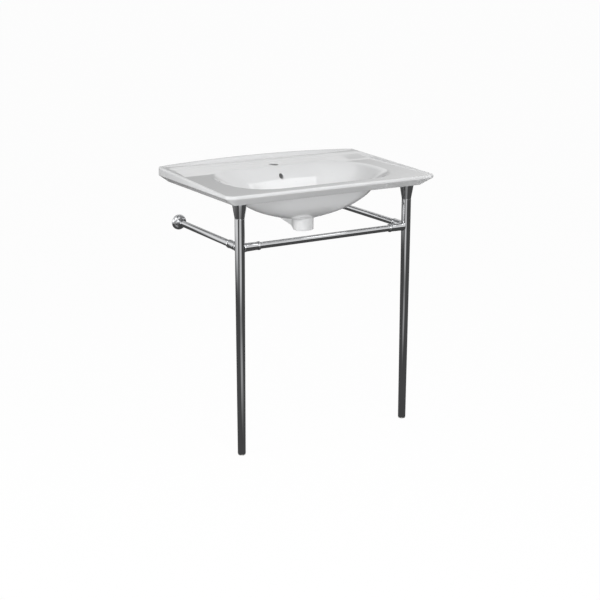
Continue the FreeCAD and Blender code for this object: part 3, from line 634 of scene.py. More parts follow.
def outline(half, front, back, front_corner, back_corner):
    """An outline in plan, anticlockwise from the middle of its back, always with as many points."""
    front_corner, back_corner = max(front_corner, 3.0), max(back_corner, 1.5)
    side = np.concatenate([np.linspace(0, 0.13, 26, endpoint=False),
                           np.linspace(0.13, 1, 66, endpoint=False)])

    def run(x, y):
        return np.column_stack(np.broadcast_arrays(x, y))

    def bend(x, y, radius, start, end, count):
        angle = np.radians(np.linspace(start, end, count, endpoint=False))
        return run(x + radius * np.cos(angle), y + radius * np.sin(angle))

    left = np.concatenate([
        run(np.linspace(0, 1, 60, endpoint=False) * (back_corner - half), back),
        bend(back_corner - half, back - back_corner, back_corner, 90, 180, 4),
        run(-half, (back - back_corner) * (1 - side) + (front + front_corner) * side),
        bend(front_corner - half, front + front_corner, front_corner, 180, 270, 11),
        run(np.linspace(1, 0, 58) * (front_corner - half), front)])
    return np.concatenate([left, (left * (-1, 1))[-2:0:-1]])


# The basin's form is worked out in millimetres. The tables' heights are over the floor.
ORIGIN_HEIGHT = 868  # of the hanger bolts
DRAIN_Y = -307.0
BOSS_BOTTOM = 701
BOSS_CHAMFER = 1.2

# The bowl's hollow, from its mouth down: height, half width, front, back and corner radius.
BOWL_INSIDE = [
    (886, 306, -471, -129, 150),
    (873, 281, -459, -143, 142),
    (860, 258, -446, -160, 130),
    (851, 251, -439, -168, 124),
    (836, 236, -429, -177, 114),
    (818, 218, -414, -187, 104),
    (798, 190, -396, -202, 95),
    (783, 160, -379, -217, 84),
    (770, 115, -358, -239, 59),
    (761, 76, -350, -258, 42),
    (757.4, 48, -347, -267, 38),
]
LEVEL_BELOW = 838  # above it the bowl's rings rise to meet the tilted deck

# Its outer side, from the underside of the deck down to the boss, and then the boss itself.
BOWL_OUTSIDE = [
    (873, 310, -474, -121, 152),
    (862, 285, -466, -132, 147),
    (850, 262, -455, -148, 138),
    (830, 248, -441, -165, 124),
    (812, 230, -427, -175, 114),
    (790, 200, -408, -190, 104),
    (775, 170, -390, -206, 91),
    (760, 125, -367, -232, 66),
    (750, 86, -346, -262, 41),
    (745, 58, -337, -277, 29),
    (742, 40, -333, -281, 26),
]
BOSS_BOX = (30.0, -333, -281, 25.0)
BOSS_LEVELS = (740, 736, 732, 728, 725, 722.5, 720.5, 718.5, 716.5, 714.5, 712.5, 710.5, 708.5,
               706.5, 704.5, 703.0, 702.0)

# The overflow channel behind the bowl: height and back.
CHANNEL_BACK = [(701, -290), (706.5, -277), (712.4, -258), (716, -232), (721.9, -191),
                (760, -176), (862, -124), (874, -122)]

# The deck lies under the rim by its drop at the front, and by its fall more at the back.
DECK_DROP, DECK_FALL = 3.0, 6.2
# The tap's ledge: its front, how much further that comes forward beyond two distances from the
# middle, its lip and its slope.
LEDGE_FRONT, LEDGE_BULGE, LEDGE_ENDS = -131, 25.0, (205.0, 300.0)
LEDGE_LIP, LEDGE_SLOPE = 1.0, 0.058
LIP_BEND, SLOPE_BEND = (-4.0, 4.0), (-3.0, 8.0)
# The raised rim: its flat top, and its width at the front and how much wider it is at the wall.
BEAD_TOP, BEAD_WIDTH, BEAD_SPREAD = 5.0, 12, 18
UPSTAND_FACE = (10.0, 27.0)  # distances from the wall between which the upstand comes down
UPSTAND_CREST = 30  # distance from the wall within which the rim stays under the crest
# The recess under the deck, and how far the deck's middle lies under the rim.
RECESS_INSET, RECESS_BACK, RECESS_CORNERS, DECK_MIDDLE = 75, -16.0, (90.0, 14.0), 9.0
CHANNEL_SETBACK = 20  # how far in front of the drain's axis the overflow channel starts
BOSS_TOP = 757  # over it the boss shrinks to a core inside the bowl
BOSS_BLEND, CHANNEL_BLEND = 7.0, 16.0

# The shelf under the upstand: distance from the wall and height over the ledge.
SHELF = [(0, 5.9), (34, 5.9), (40, 5.6), (48, 4.9), (58, 3.9), (66, 2.2), (74, 0.7), (80, 0.1),
         (84, 0.0)]
SHELF_FRONT = SHELF[-1][0]


def eased(rows, count, rounds=5):
    """Rows at even steps along the section, with the bends between the given ones rounded."""
    rows = np.array(rows, float)
    travel = np.concatenate([[0], np.cumsum(np.hypot(np.diff(rows[:, 0]), np.diff(rows[:, 1])))])
    even = np.linspace(0, travel[-1], count)
    dense = np.stack([np.interp(even, travel, column) for column in rows.T], 1)
    for _ in range(rounds):
        dense[1:-1] = (dense[:-2] + 2 * dense[1:-1] + dense[2:]) / 4
    dense[:, 0] -= ORIGIN_HEIGHT
    return dense


class BasinForm:
    """Heights and outlines of the basin, in millimetres from the middle of the hanger bolts."""

    def __init__(self, sizes):
        for name in sizes.__annotations__:
            setattr(self, name, getattr(sizes, name) / MM)
        self.half = BASIN_HIGH.x / MM
        self.front = BASIN_LOW.y / MM

    def rim(self, y):
        return self.rim_back + (self.rim_back - self.rim_front) * y / -self.front

    def deck(self, x, y):
        """The sunk deck with the raised ledge for the tap at its back."""
        share = (y - self.front) / -self.front
        past = y - (LEDGE_FRONT - LEDGE_BULGE * step(*LEDGE_ENDS, np.abs(x)))
        ledge = LEDGE_LIP * step(*LIP_BEND, past)
        slope = LEDGE_SLOPE * np.clip(past, 0.0, None) * step(*SLOPE_BEND, past)
        return self.rim(y) - DECK_DROP - DECK_FALL * step(0.0, 0.85, share) + ledge + slope

    def top(self, x, y):
        """Height of the basin's upper side at any place in plan."""
        deck = self.deck(x, y)
        crest = self.rim_back + self.crest_rise * (1 - (x / self.half) ** 2)
        away = -y
        shelf = self.deck(x, np.full_like(y, 1.0 - SHELF_FRONT)) + np.interp(away, *zip(*SHELF))
        face = step(*UPSTAND_FACE, away)
        back = crest * (1 - face) + np.maximum(shelf, deck) * face
        level = np.where(away < SHELF_FRONT, back, deck)
        # The raised rim along the sides and the front. The wall is no side: the box ends past it.
        inset = -box_distance(x, y, self.half, self.front, 900.0, self.front_corner)
        width = BEAD_WIDTH + BEAD_SPREAD * step(0.0, 1.0, (y - self.front) / -self.front)
        bead = 1 - step(BEAD_TOP, width, inset)
        crown = np.where(away < UPSTAND_CREST, np.minimum(self.rim(y), crest), self.rim(y))
        return level * (1 - bead) + crown * bead

    def inset(self, distance, back=None):
        """The basin's outline in plan, drawn in by a distance. A back that is given stays."""
        return outline(self.half - distance, self.front + distance,
                       -distance if back is None else back,
                       self.front_corner - distance, self.back_corner - distance)

    def rings(self):
        """The basin's closed section as rings of points, each all round the drain's axis."""
        directions = self.inset(0) - (0, DRAIN_Y)
        directions /= np.linalg.norm(directions, axis=1)[:, None]

        def circle(radius, height):
            return raised(from_drain(directions, radius), height - ORIGIN_HEIGHT)

        bore = self.drain
        drain = [circle(*row) for row in (
            (bore, 701.5), (bore, 715), (bore, 735), (bore, 748), (bore + 0.3, 752.6),
            (bore + 1.6, 753.9), (bore + 3.5, 754.2), (31.0, 754.4), (32.4, 754.8), (33.0, 755.7),
            (33.7, 756.5), (36.0, 757.0))]

        inside = []
        rows = eased(BOWL_INSIDE, 42)
        mouth_z = rows[0][0]
        for z, *box in rows:
            plan = ray_hits(directions, lambda x, y: box_distance(x, y, *box))
            lift = step(LEVEL_BELOW - ORIGIN_HEIGHT, mouth_z, z)
            inside.append(raised(plan, z + lift * (self.deck(*plan.T) - mouth_z)))

        mouth, last = inside[0][:, :2], self.inset(30.0)
        plans = [mouth * (1 - share) + last * share for share in np.linspace(0, 1, 44)[1:]]
        plans += [self.inset(distance) for distance in (
            28, 26, 24, 22, 20, 18, 16, 14, 12.5, 11, 9.5, 8, 6.6)]
        deck = [raised(plan, self.top(*plan.T)) for plan in plans]
        crown = self.top(*self.inset(self.rim_round).T)
        for angle in np.radians((0, 18, 36, 54, 72, 90)):
            deck.append(raised(self.inset(self.rim_round * (1 - math.sin(angle))),
                               crown - self.rim_round * (1 - math.cos(angle))))

        outside = [self.outside_ring(directions, *row) for row in eased(BOWL_OUTSIDE, 36)]
        outside += [self.outside_ring(directions, height - ORIGIN_HEIGHT, *BOSS_BOX)
                    for height in BOSS_LEVELS]
        reach = np.linalg.norm(outside[-1][:, :2] - (0, DRAIN_Y), axis=1)
        boss = [circle(reach - BOSS_CHAMFER, BOSS_BOTTOM), circle(bore + 1.0, BOSS_BOTTOM)]

        recess = outline(self.half - RECESS_INSET, self.front + RECESS_INSET, RECESS_BACK,
                         *RECESS_CORNERS)
        ceiling = self.rim(recess[:, 1]) - DECK_MIDDLE - self.ceramic
        underside = rounded_section([
            (deck[-1], 0), (raised(self.inset(0), self.edge), self.crease_round),
            (raised(self.inset(self.undercut, back=0.0), self.underside), self.crease_round),
            (raised(recess, self.underside), 2.5), (raised(recess, ceiling), 8.0),
            (outside[0], 6.0), (outside[1], 0)])
        bowl_and_deck = round_mouth(drain + inside[::-1] + deck, len(drain) + len(inside))
        return bowl_and_deck + underside[1:-1] + outside[1:] + boss

    def outside_ring(self, directions, z, *box):
        """One level of the bowl's outer side, with the boss and the overflow channel in it."""
        height = z + ORIGIN_HEIGHT
        channel_back = np.interp(height, *zip(*CHANNEL_BACK))
        channel_front = DRAIN_Y - CHANNEL_SETBACK
        rounding = min(13.0, (channel_back - channel_front) / 2 - 1)
        boss = self.boss if height < BOSS_TOP else 12.0

        def distance(x, y):
            drain = np.hypot(x, y - DRAIN_Y) - boss
            channel = box_distance(x, y, self.channel / 2, channel_front, channel_back, rounding)
            bowl = soft_union(box_distance(x, y, *box), drain, BOSS_BLEND)
            return soft_union(bowl, channel, CHANNEL_BLEND)

        return raised(ray_hits(directions, distance), z)


def rounded_section(corners, most=0.45):
    """Rings along a section whose corner rings are given, each rounded by its own amount."""
    rings = [corners[0][0]]
    for (before, _), (here, rounding), (after, _) in zip(corners, corners[1:], corners[2:]):
        arms = []
        for other in (before, after):
            arm = other - here
            reach = np.maximum(np.linalg.norm(arm, axis=1)[:, None], 1e-9)
            arms.append(arm * np.minimum(rounding / reach, most))
        fill(rings, here + arms[0])
        for share in (0.0, 0.25, 0.5, 0.75, 1.0):
            rings.append(here + arms[0] * (1 - share) ** 2 + arms[1] * share ** 2)
    fill(rings, corners[-1][0])
    rings.append(corners[-1][0])
    return rings


def fill(rings, target, gap=16, most=7):
    """Adds rings between the last one and a target where they are far apart."""
    last = rings[-1]
    count = int(min(np.linalg.norm(target - last, axis=1).max() // gap, most))
    for number in range(1, count + 1):
        rings.append(last + (target - last) * number / (count + 1))


def round_mouth(rings, centre, reach=11, rounds=14):
    """Rounds the bend between bowl and deck by evening out the rings on both sides of it."""
    stack = np.stack(rings)
    near = stack[centre - reach:centre + reach + 2]
    for _ in range(rounds):
        near[1:-1] = (near[:-2] + 2 * near[1:-1] + near[2:]) / 4
    return list(stack)


def ring_faces(count, columns):
    """Faces of rings that are joined one to the next, and the last to the first."""
    grid = np.arange(count * columns).reshape(count, columns)
    after = np.roll(grid, -1, 0)
    return np.stack([grid, np.roll(grid, -1, 1), np.roll(after, -1, 1), after], -1).reshape(
        -1, 4).tolist()


def hit(tree, start, direction):
    """First point of a surface along a ray."""
    place = tree.ray_cast(start, direction)[0]
    if place is None:
        raise RuntimeError("a ray for a hole in the basin met no surface")
    return place


HOLE_POINTS = 48
PAST_WALL = 0.06  # far enough along a hole to be out of the ceramic again
SPARE = 0.0026  # how much further out than a lip the basin's own faces make way for it
SAME_SIDE = 1.6  # how far off a lip's plane those faces may lie, in radii of the hole
OUTWARD = -0.2  # cosine between them and the hole's axis below which they face out of it


def cut_hole(mesh, tree, centre, axis, radius, lip, depth=None, dark=0.0):
    """A round hole with a rounded lip: through to the far side, or blind where a depth is given. Its
    deeper rings carry painted shade, as strong as dark.

    The centre is a point outside the basin on the hole's axis, and the axis points into it."""
    centre, axis = Vector(centre), Vector(axis)
    side = axis.orthogonal().normalized()
    other = axis.cross(side)

    def around(distance, number):
        angle = 2 * math.pi * number / HOLE_POINTS
        return centre + (side * math.cos(angle) + other * math.sin(angle)) * distance

    def bearing(point):
        return math.atan2((point - centre).dot(other), (point - centre).dot(side))

    def angle_between(first, second):
        return (bearing(second.co) - bearing(first.co) + math.pi) % (2 * math.pi) - math.pi

    def steps_round(loop):
        return [angle_between(here, after) for here, after in zip(loop, loop[1:] + loop[:1])]

    def lip_on_surface(toward):
        """The lip's outer ring, on the near side of the ceramic or on its far side."""
        ring = [hit(tree, around(radius + lip, number), axis) for number in range(HOLE_POINTS)]
        return ring if toward > 0 else [hit(tree, p + axis * PAST_WALL, -axis) for p in ring]

    def open_side(ring, toward):
        """Deletes the faces under a lip, and joins the lip's outer ring to what is left."""
        plane = sum((p - centre).dot(axis) for p in ring) / HOLE_POINTS
        doomed = []
        for face in mesh.faces:
            offset = face.calc_center_median() - centre
            along = offset.dot(axis)
            if (abs(along - plane) < radius * SAME_SIDE and face.normal.dot(axis) * toward < OUTWARD
                    and (offset - axis * along).length < radius + lip + SPARE):
                doomed.append(face)
        gone = set(doomed)
        border = {edge for face in doomed for edge in face.edges
                  if sum(other in gone for other in edge.link_faces) == 1}
        bmesh.ops.delete(mesh, geom=doomed, context="FACES")
        verts = [mesh.verts.new(p) for p in ring]
        stitch(walk(border), verts)
        return verts

    def walk(border):
        """The corners of an open edge in order, turning the same way as the hole's rings."""
        beside = {}
        for edge in border:
            for vert in edge.verts:
                beside.setdefault(vert, []).append(edge.other_vert(vert))
        first = next(iter(beside))
        chain = [first, beside[first][0]]
        while True:
            here = next(v for v in beside[chain[-1]] if v is not chain[-2])
            if here is first:
                break
            chain.append(here)
        if len(chain) != len(beside):
            raise RuntimeError("the opening for a hole in the basin isn't one loop")
        return chain if sum(steps_round(chain)) > 0 else chain[::-1]

    def stitch(outer, inner):
        """Triangles between two loops that go round the same way."""
        start = min(range(len(outer)), key=lambda n: abs(angle_between(inner[0], outer[n])))
        loops = (outer[start:] + outer[:start], inner)
        steps = [steps_round(loop) + [math.inf] for loop in loops]
        done, turned = [0, 0], [angle_between(inner[0], loops[0][0]), 0.0]
        for _ in range(len(outer) + len(inner)):
            ahead = [turned[which] + steps[which][done[which]] for which in (0, 1)]
            which = 0 if ahead[0] <= ahead[1] else 1
            first, last = (loop[number % len(loop)] for loop, number in zip(loops, done))
            turned[which] = ahead[which]
            done[which] += 1
            after = loops[which][done[which] % len(loops[which])]
            mesh.faces.new((first, after, last))

    def join(first, second):
        for number in range(HOLE_POINTS):
            after = (number + 1) % HOLE_POINTS
            mesh.faces.new((first[number], first[after], second[after], second[number]))

    def rounded_lip(toward):
        """Opens one side and adds the lip's rounding, from the surface into the hole."""
        rim = lip_on_surface(toward)
        verts = open_side(rim, toward)
        for angle in (math.radians(90 * share) for share in (0.25, 0.5, 0.75, 1.0)):
            distance = radius + lip * (1 - math.sin(angle))
            sunk = toward * lip * (1 - math.cos(angle))
            ring = [mesh.verts.new(around(distance, n) + axis * ((p - centre).dot(axis) + sunk))
                    for n, p in enumerate(rim)]
            join(verts, ring)
            verts = ring
        return verts

    # A ring further into the hole, whose points get painted shade in the glaze's colour.
    def painted_shade_ring(last, points):
        ring = [mesh.verts.new(p) for p in points]
        for vert in ring:
            vert[shade] = dark
        join(last, ring)
        return ring

    # Painted shade: how dark the glaze is painted at each point inside a hole.
    shade = mesh.verts.layers.float["hole_depth"]
    top = last = rounded_lip(1)
    if depth is None:
        end = rounded_lip(-1)
        for share in (0.25, 0.5, 0.75):
            last = painted_shade_ring(last, [v.co.lerp(w.co, share) for v, w in zip(top, end)])
        join(last, end)
    else:
        for share in (0.12, 0.4, 1.0):
            last = painted_shade_ring(last, [
                v.co + axis * (depth * share - (v.co - top[0].co).dot(axis)) for v in top])
        mesh.faces.new(last)


# ---------------------------------------------------------------- operators

class SINK_OT_finishes(bpy.types.Operator):
    """Make the glaze, chrome and other finishes"""
    bl_idname = "sink.finishes"
    bl_label = "Finishes"

    def execute(self, context):
        for make in (white_glaze, polished_chrome, zinc_plating, turned_brass, moulded_plastic,
                     black_rubber):
            make(context.scene.sink_colours)
        slots = {part["node"]: part["material_slot"] for part in frame["record"]["subparts"]}
        for node, obj in frame["nodes"].items():
            for number in range(len(obj.data.materials)):
                obj.data.materials[number] = finish_of(slots[node])
        turning_tree()
        thread_tree()
        return {"FINISHED"}


class SINK_OT_basin(bpy.types.Operator):
    """Make the glazed basin"""
    bl_idname = "sink.basin"
    bl_label = "Basin"

    def execute(self, context):
        s = context.scene.sink_basin
        rings = np.stack(BasinForm(s).rings()) * MM
        obj = new_object("basin_glazed", rings.reshape(-1, 3), faces=ring_faces(*rings.shape[:2]))
        mesh = bmesh.new()
        mesh.from_mesh(obj.data)
        bmesh.ops.recalc_face_normals(mesh, faces=mesh.faces)
        tree = BVHTree.FromBMesh(mesh)
        mesh.verts.layers.float.new("hole_depth")
        above, in_bowl, in_wall = 0.2, -0.30, 0.2
        # The tap hole and the overflow get painted shade inside them, 0.7 and 0.55 of the way to near
        # black.
        cut_hole(mesh, tree, (0, -s.tap_back, above), (0, 0, -1), s.tap_hole, lip=1.6 * MM,
                 dark=0.7)
        cut_hole(mesh, tree, (0, in_bowl, s.overflow_z), (0, 1, 0), s.overflow, lip=1.8 * MM,
                 depth=20 * MM, dark=0.55)
        for x in (-HANGER_X, HANGER_X):
            cut_hole(mesh, tree, (x, in_wall, 0), (0, -1, 0), s.hanger_hole, lip=1.2 * MM)
        bmesh.ops.recalc_face_normals(mesh, faces=mesh.faces)
        for face in mesh.faces:
            face.smooth = True
        mesh.to_mesh(obj.data)
        mesh.free()
        obj.data.materials.append(finish_of("glazed_ceramic"))
        settle(obj, "basin")
        return {"FINISHED"}


class SINK_OT_legs(bpy.types.Operator):
    """Make the two legs and their flared caps"""
    bl_idname = "sink.legs"
    bl_label = "Legs"

    def execute(self, context):
        s = context.scene.sink_frame
        top, bottom, taper = LEG_HIGH.z / MM, LEG_LOW.z / MM, BAR_Z / MM - 18
        leg, foot, wall, cap = in_mm(s, "leg", "leg_foot", "tube_wall", "cap_top")
        rim, bore, seat = top + 48.5, 4.06, 6.65  # of the cap: its top and its screw's two radii
        for side in SIDES:
            place = middle("leg_plug_" + side, z=0)
            turned_part("leg_%s_tube" % side, "leg_" + side, [
                (foot - wall, bottom, 0.4), (foot, bottom, 1.0), (leg, taper, 60), (leg, top, 0.3),
                (leg - wall, top, 0.2), (leg - wall, taper, 20)], place, "Z", s.segments)
            turned_part("leg_%s_cap_flared" % side, "leg_cap_" + side, [
                (bore, top + 0.02, 0.2), (leg, top + 0.02, 0.35), (leg + 0.15, top + 2.0, 1.0),
                (cap - 0.25, rim - 2.2, 3.0), (cap, rim, 0.8), (cap - 3, rim, 0.3),
                (cap - 3, rim - 1.5, 0.2), (seat, rim - 1.5, 0.2), (seat, rim - 7.5, 0.2),
                (bore, rim - 7.5, 0.2)], place, "Z", s.segments)
        return {"FINISHED"}


class SINK_OT_bars(bpy.types.Operator):
    """Make the front bar and the two side bars"""
    bl_idname = "sink.bars"
    bl_label = "Bars"

    def execute(self, context):
        s = context.scene.sink_frame
        bar, wall = in_mm(s, "bar", "bar_wall")
        for node, along in (("front_bar", "X"), ("side_bar_left", "Y"), ("side_bar_right", "Y")):
            low, high = (getattr(corner, along.lower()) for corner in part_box(node))
            half = (high - low) / 2 / MM
            turned_part(node + "_tube", node, [
                (bar - wall, -half, 0.3), (bar, -half, 0.5), (bar, half, 0.5),
                (bar - wall, half, 0.3)], middle(node), along, s.segments)
        return {"FINISHED"}


class SINK_OT_sockets(bpy.types.Operator):
    """Make the corner sockets on the legs and the rings at their mouths"""
    bl_idname = "sink.sockets"
    bl_label = "Corner sockets and rings"

    def execute(self, context):
        s = context.scene.sink_frame
        root, mouth, reach, ring = in_mm(s, "socket_root", "socket_mouth", "socket_reach", "ring")
        bar, half = s.bar / MM, s.ring_width / MM / 2
        bore, inner = bar + 0.15, bar + 0.06
        for side, sign in zip(SIDES, (1, -1)):
            pieces = []
            for along, kind, way in (("X", "front_ring_", sign), ("Y", "side_ring_", 1)):
                pieces.append(turn("socket_%s_%s" % (side, along.lower()), [
                    (bore, 12 * way, 0), (root + 1.6, 12 * way, 0), (root + 1.1, 17 * way, 4),
                    (root, 22 * way, 6), (mouth, (reach - 2) * way, 0.4),
                    (bore, (reach - 2) * way, 0.3)],
                    middle("leg_plug_" + side, z=BAR_Z), along, s.segments))
                turned_part(kind + side + "_turned", kind + side, [
                    (inner, -half, 0.2), (ring - 0.9, -half, 0.6), (ring, 1.2 - half, 0.8),
                    (ring, half - 1.2, 0.8), (ring - 0.9, half, 0.6), (inner, half, 0.2)],
                    middle(kind + side), along, s.segments)
            settle(join_pieces("corner_socket_%s_cast" % side, pieces), "corner_socket_" + side)
        return {"FINISHED"}


class SINK_OT_wall_covers(bpy.types.Operator):
    """Make the domed covers that hide the wall plates"""
    bl_idname = "sink.wall_covers"
    bl_label = "Wall covers"

    def execute(self, context):
        s = context.scene.sink_frame
        out, deep = in_mm(s, "cover", "cover_depth")
        bore, neck = s.bar / MM + 0.06, 14.0
        dome, inside, hollow = deep - 4, out - 1.5, deep - 5.5
        for side in SIDES:
            node = "wall_flange_" + side
            turned_part(node + "_domed", node, [
                (inside, 0, 0.3), (out, 0, 0.5), (out, -dome * 0.25, 1.6),
                (out * 0.93, -dome * 0.58, 3.0), (out * 0.79, -dome * 0.88, 3.0),
                (neck, -dome, 0.6), (neck, -deep, 1.0), (bore, -deep, 0.4), (bore, -hollow, 0.3),
                (inside * 0.79, -hollow * 0.88, 2.5), (inside * 0.93, -hollow * 0.58, 2.5),
                (inside, -hollow * 0.25, 1.5)], middle(node, y=0), "Y", s.segments,
                body="flange_" + side)
        return {"FINISHED"}


class SINK_OT_feet(bpy.types.Operator):
    """Make the levelling feet with their threads and soles"""
    bl_idname = "sink.feet"
    bl_label = "Levelling feet"

    def execute(self, context):
        flange, screw = context.scene.sink_frame.foot / MM, 4.3
        for side in SIDES:
            node, sole = "levelling_foot_" + side, "foot_sole_" + side
            low, high = (corner.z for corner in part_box(node))
            tall = (high - low) / MM
            turned_part(node + "_turned", node, [
                (0, 0, 0), (flange, 0, 0.3), (flange, 2, 0.5), (screw, 2, 0.3),
                (screw, tall - 1.2, 0.3), (3.4, tall, 0.2), (0, tall, 0)],
                middle("leg_plug_" + side, z=low), "Z", 40, "foot_" + side, "zinc_plated_steel",
                threads=[(screw, 0.65, 2.4, tall - 2.0, 1.5)])
            turned_part(sole + "_moulded", sole, [
                (0, 0, 0), (flange, 0, 0.5), (flange, 2, 0.2), (0, 2, 0)],
                middle("leg_plug_" + side, z=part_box(sole)[0].z), "Z", 48, "foot_" + side, "plastic")
        return {"FINISHED"}


class SINK_OT_studs(bpy.types.Operator):
    """Make the hanger bolts and the wall studs with their threads"""
    bl_idname = "sink.studs"
    bl_label = "Bolts and studs"

    def execute(self, context):
        for side in SIDES:
            for kind, core in (("hanger_bolt_", 4.1), ("wall_stud_", 3.1)):
                node = kind + side
                front, end = (corner.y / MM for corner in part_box(node))
                turned_part(node + "_turned", node, [
                    (0, front, 0), (core - 0.6, front, 0.2), (core, front + 1, 0.2),
                    (core, -0.4, 0.2), (core, 1.0, 0.2), (core, end - 9, 1.0), (0, end, 0)],
                    middle(node, y=0), "Y", 40, slot="zinc_plated_steel",
                    threads=[(core, 0.6, front + 1.5, -0.8, 1.5),
                             (core - 0.1, 1.0, 3.0, end - 9, 3.4)])
        return {"FINISHED"}


class SINK_OT_stage(bpy.types.Operator):
    """Make the floor, the lamps, the surroundings and the camera"""
    bl_idname = "sink.stage"
    bl_label = "Stage"

    def execute(self, context):
        s = context.scene.sink_studio
        floor_finish(s)
        far = 90.0
        floor = new_object("floor", [(x * far, y * far, FLOOR) for x, y in (
            (-1, -1), (1, -1), (1, 1), (-1, 1))], faces=[(0, 1, 2, 3)])
        floor.data.materials.append(bpy.data.materials["studio_floor"])
        surroundings(context, s)
        low_cards()
        far_cards()
        high_card()
        card_ring("low_cards", radius=1.6, bottom=FLOOR + 0.001, top=-0.10, cloth=True)
        card_ring("far_cards", radius=6.0, bottom=FLOOR, top=s.card_top)
        card_ring("high_card", radius=5.9, bottom=s.card_top, top=10.2, bearings=(60, 176))
        sink = (0, -0.25, -0.05)
        lamp("side_lamp", (-3.0, -0.6, 0.45), sink, (1.5, 1.1), s.side)
        lamp("front_lamp", (-0.8, -3.0, 1.05), sink, (1.6, 1.1), s.front)
        oval = lamp("patch_lamp", (1.06, -1.24, 1.46), (-0.05, -0.2, 0), (0.35, 0.64), s.patch,
                    roll=-36.5)
        oval.data.shape = "ELLIPSE"
        overhead = lamp("overhead_lamp", (0, -1.0, 2.6), (0, -0.25, 0), (2.0, 1.5), s.overhead)
        overhead.visible_glossy = False
        camera = bpy.data.objects.new("camera", bpy.data.cameras.new("camera"))
        context.scene.collection.objects.link(camera)
        camera.data.lens, camera.data.sensor_width = s.lens, 36.0
        camera.data.shift_x, camera.data.shift_y = s.shift_x, s.shift_y
        camera.data.clip_end = 60.0
        camera.location = (s.camera_across, s.camera_back, s.camera_height)
        camera.rotation_euler = (math.pi / 2 - s.pitch, 0, -s.yaw)
        context.scene.camera = camera
        context.scene.view_settings.view_transform = "Standard"
        return {"FINISHED"}


def card_finish(name):
    """A finish for cards, with its bearing round the object in degrees and its height."""
    finish = new_finish(name)
    place = finish.place()
    bearing = (place.axis("Y") - RING_Y).join("ARCTAN2", place.axis("X"))
    turned = bearing * (180 / math.pi) + 360 * (bearing < 0)
    return finish, turned, place.axis("Z") - FLOOR


def glow(finish, share, dim, bright):
    """Ends a card's finish in a glow between a dim and a bright one."""
    finish.mixed("ShaderNodeOutputMaterial", share, *[
        finish.add("ShaderNodeEmission", {}, {"Color": (1.0, 1.0, 1.0, 1.0), "Strength": power})
        for power in (dim, bright)])


def low_cards():
    """A dark cloth under the object and low dark cards round it, with three brighter gaps."""
    finish, turned, height = card_finish("low_cards")
    reach = finish.add("ShaderNodeVectorMath", {"operation": "LENGTH"},
                       {0: finish.place() * (1, 1, 0) - (0, RING_Y, 0)}, "Value")
    left_gap = turned.band(122, 134, 198, 208) * height.between(0.12, 0.50)
    back_gap = turned.band(44, 54, 80, 90) * height.between(0.0, 0.1)
    on_cloth = reach.between(0.35, 1.0) * (0.40 - reach.between(1.2, 1.55) * 0.14)
    front_gap = turned.band(226, 231, 262, 272) * (on_cloth + height.between(0.02, 0.25) * 0.52)
    glow(finish, left_gap * 0.95 + back_gap * 0.16 + front_gap, dim=0.10, bright=1.10)


def far_cards():
    """Large cards further off: grey behind the object, and bright on the left and in front."""
    finish, turned, _ = card_finish("far_cards")
    behind = 1 - turned.between(98, 113)
    right = 1 - turned.between(46, 62)
    in_front = turned.between(335, 350)
    glow(finish, 1 - behind * (0.95 - right * 0.41) - in_front * 0.51, dim=0.34, bright=1.25)


def high_card():
    """A dark card over the far ones, behind the object and leaning to the left, with soft edges."""
    finish, turned, height = card_finish("high_card")
    across = turned.between(66, 82) * (1 - (turned - height * 10).between(60, 74))
    glow(finish, across * height.band(2.8, 3.5, 8.5, 11.0), dim=1.0, bright=0.22)


def card_ring(name, radius, bottom, top, bearings=(0, 360), cloth=False, count=96):
    """Cards that stand in a circle round the object, and that only reflections see."""
    start, end = bearings
    turned = [math.radians(start + (end - start) * n / count) for n in range(count + 1)]
    points = [(math.cos(a) * radius, math.sin(a) * radius + RING_Y, z)
              for z in (bottom, top) for a in turned]
    faces = [(n, n + 1, count + n + 2, count + n + 1) for n in range(count)]
    cards = new_object(name, points, faces=faces + ([tuple(range(count))] if cloth else []))
    cards.data.materials.append(bpy.data.materials[name])
    for kind in ("camera", "diffuse", "transmission", "volume_scatter", "shadow"):
        setattr(cards, "visible_" + kind, False)


def floor_finish(s):
    """Pale floor that reads as the background and keeps the object's shadow."""
    finish = new_finish("studio_floor")
    diffuse = finish.add("ShaderNodeBsdfDiffuse", {}, {"Color": (0.86, 0.86, 0.86, 1.0)})
    white = finish.add("ShaderNodeEmission", {}, {"Color": opaque(s.background), "Strength": 1.012})
    finish.mixed("ShaderNodeOutputMaterial", finish.looked_at() * 0.95, diffuse, white)


def surroundings(context, s):
    """Plain light from all around, and a white background for the camera and in reflections."""
    world = bpy.data.worlds.new("surroundings")
    nodes = nodes_of(world)
    even = nodes.add("ShaderNodeBackground", {}, {"Strength": s.ambient})
    white = nodes.add("ShaderNodeBackground", {}, {"Color": opaque(s.background), "Strength": 1.0})
    nodes.mixed("ShaderNodeOutputWorld", nodes.looked_at(), even, white)
    context.scene.world = world


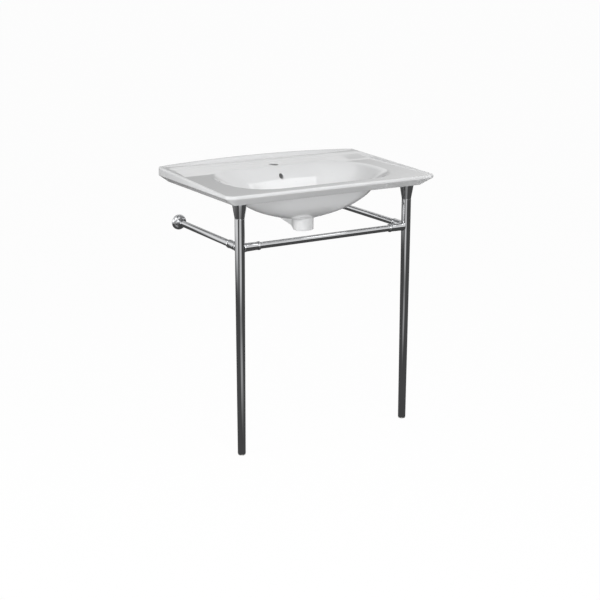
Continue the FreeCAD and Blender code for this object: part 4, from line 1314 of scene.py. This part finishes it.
def lamp(name, place, target, size, power, roll=0.0):
    """A soft box that points at a target, turned about its own axis by roll in degrees."""
    data = bpy.data.lights.new(name, "AREA")
    data.shape = "RECTANGLE"
    data.size, data.size_y = size
    data.energy = power
    obj = bpy.data.objects.new(name, data)
    bpy.context.scene.collection.objects.link(obj)
    obj.location = place
    aim = (Vector(target) - Vector(place)).to_track_quat("-Z", "Y")
    obj.rotation_euler = (aim @ Quaternion((0, 0, 1), math.radians(roll))).to_euler()
    return obj


def join_pieces(name, pieces):
    """Several meshes as one object."""
    mesh = bmesh.new()
    for piece in pieces:
        mesh.from_mesh(piece.data)
    whole = new_object(name, [])
    mesh.to_mesh(whole.data)
    mesh.free()
    whole.data.materials.append(pieces[0].data.materials[0])
    for piece in pieces:
        bpy.data.objects.remove(piece)
    return whole


# ---------------------------------------------------------------- add-on

OPERATORS = [SINK_OT_finishes, SINK_OT_basin, SINK_OT_legs, SINK_OT_bars, SINK_OT_sockets,
             SINK_OT_wall_covers, SINK_OT_feet, SINK_OT_studs, SINK_OT_stage]
GROUPS = {"sink_basin": BasinSizes, "sink_frame": FrameSizes, "sink_colours": FinishColours,
          "sink_studio": StudioSettings}


class SINK_PT_sink(bpy.types.Panel):
    """Steps that build the sink"""
    bl_idname = "SINK_PT_sink"
    bl_label = "Console sink"
    bl_space_type = "VIEW_3D"
    bl_region_type = "UI"
    bl_category = "Sink"

    def draw(self, context):
        for kind in OPERATORS:
            self.layout.operator(kind.bl_idname)
        for name, group in GROUPS.items():
            box = self.layout.box()
            for setting in group.__annotations__:
                box.prop(getattr(context.scene, name), setting)


def register():
    for kind in (*GROUPS.values(), *OPERATORS, SINK_PT_sink):
        bpy.utils.register_class(kind)
    for name, group in GROUPS.items():
        setattr(bpy.types.Scene, name, PointerProperty(type=group))


def unregister():
    for name in GROUPS:
        delattr(bpy.types.Scene, name)
    for kind in reversed((*GROUPS.values(), *OPERATORS, SINK_PT_sink)):
        bpy.utils.unregister_class(kind)


def main():
    register()
    for kind in OPERATORS:
        getattr(bpy.ops.sink, kind.bl_idname.split(".")[1])()


if __name__ == "__main__":
    main()
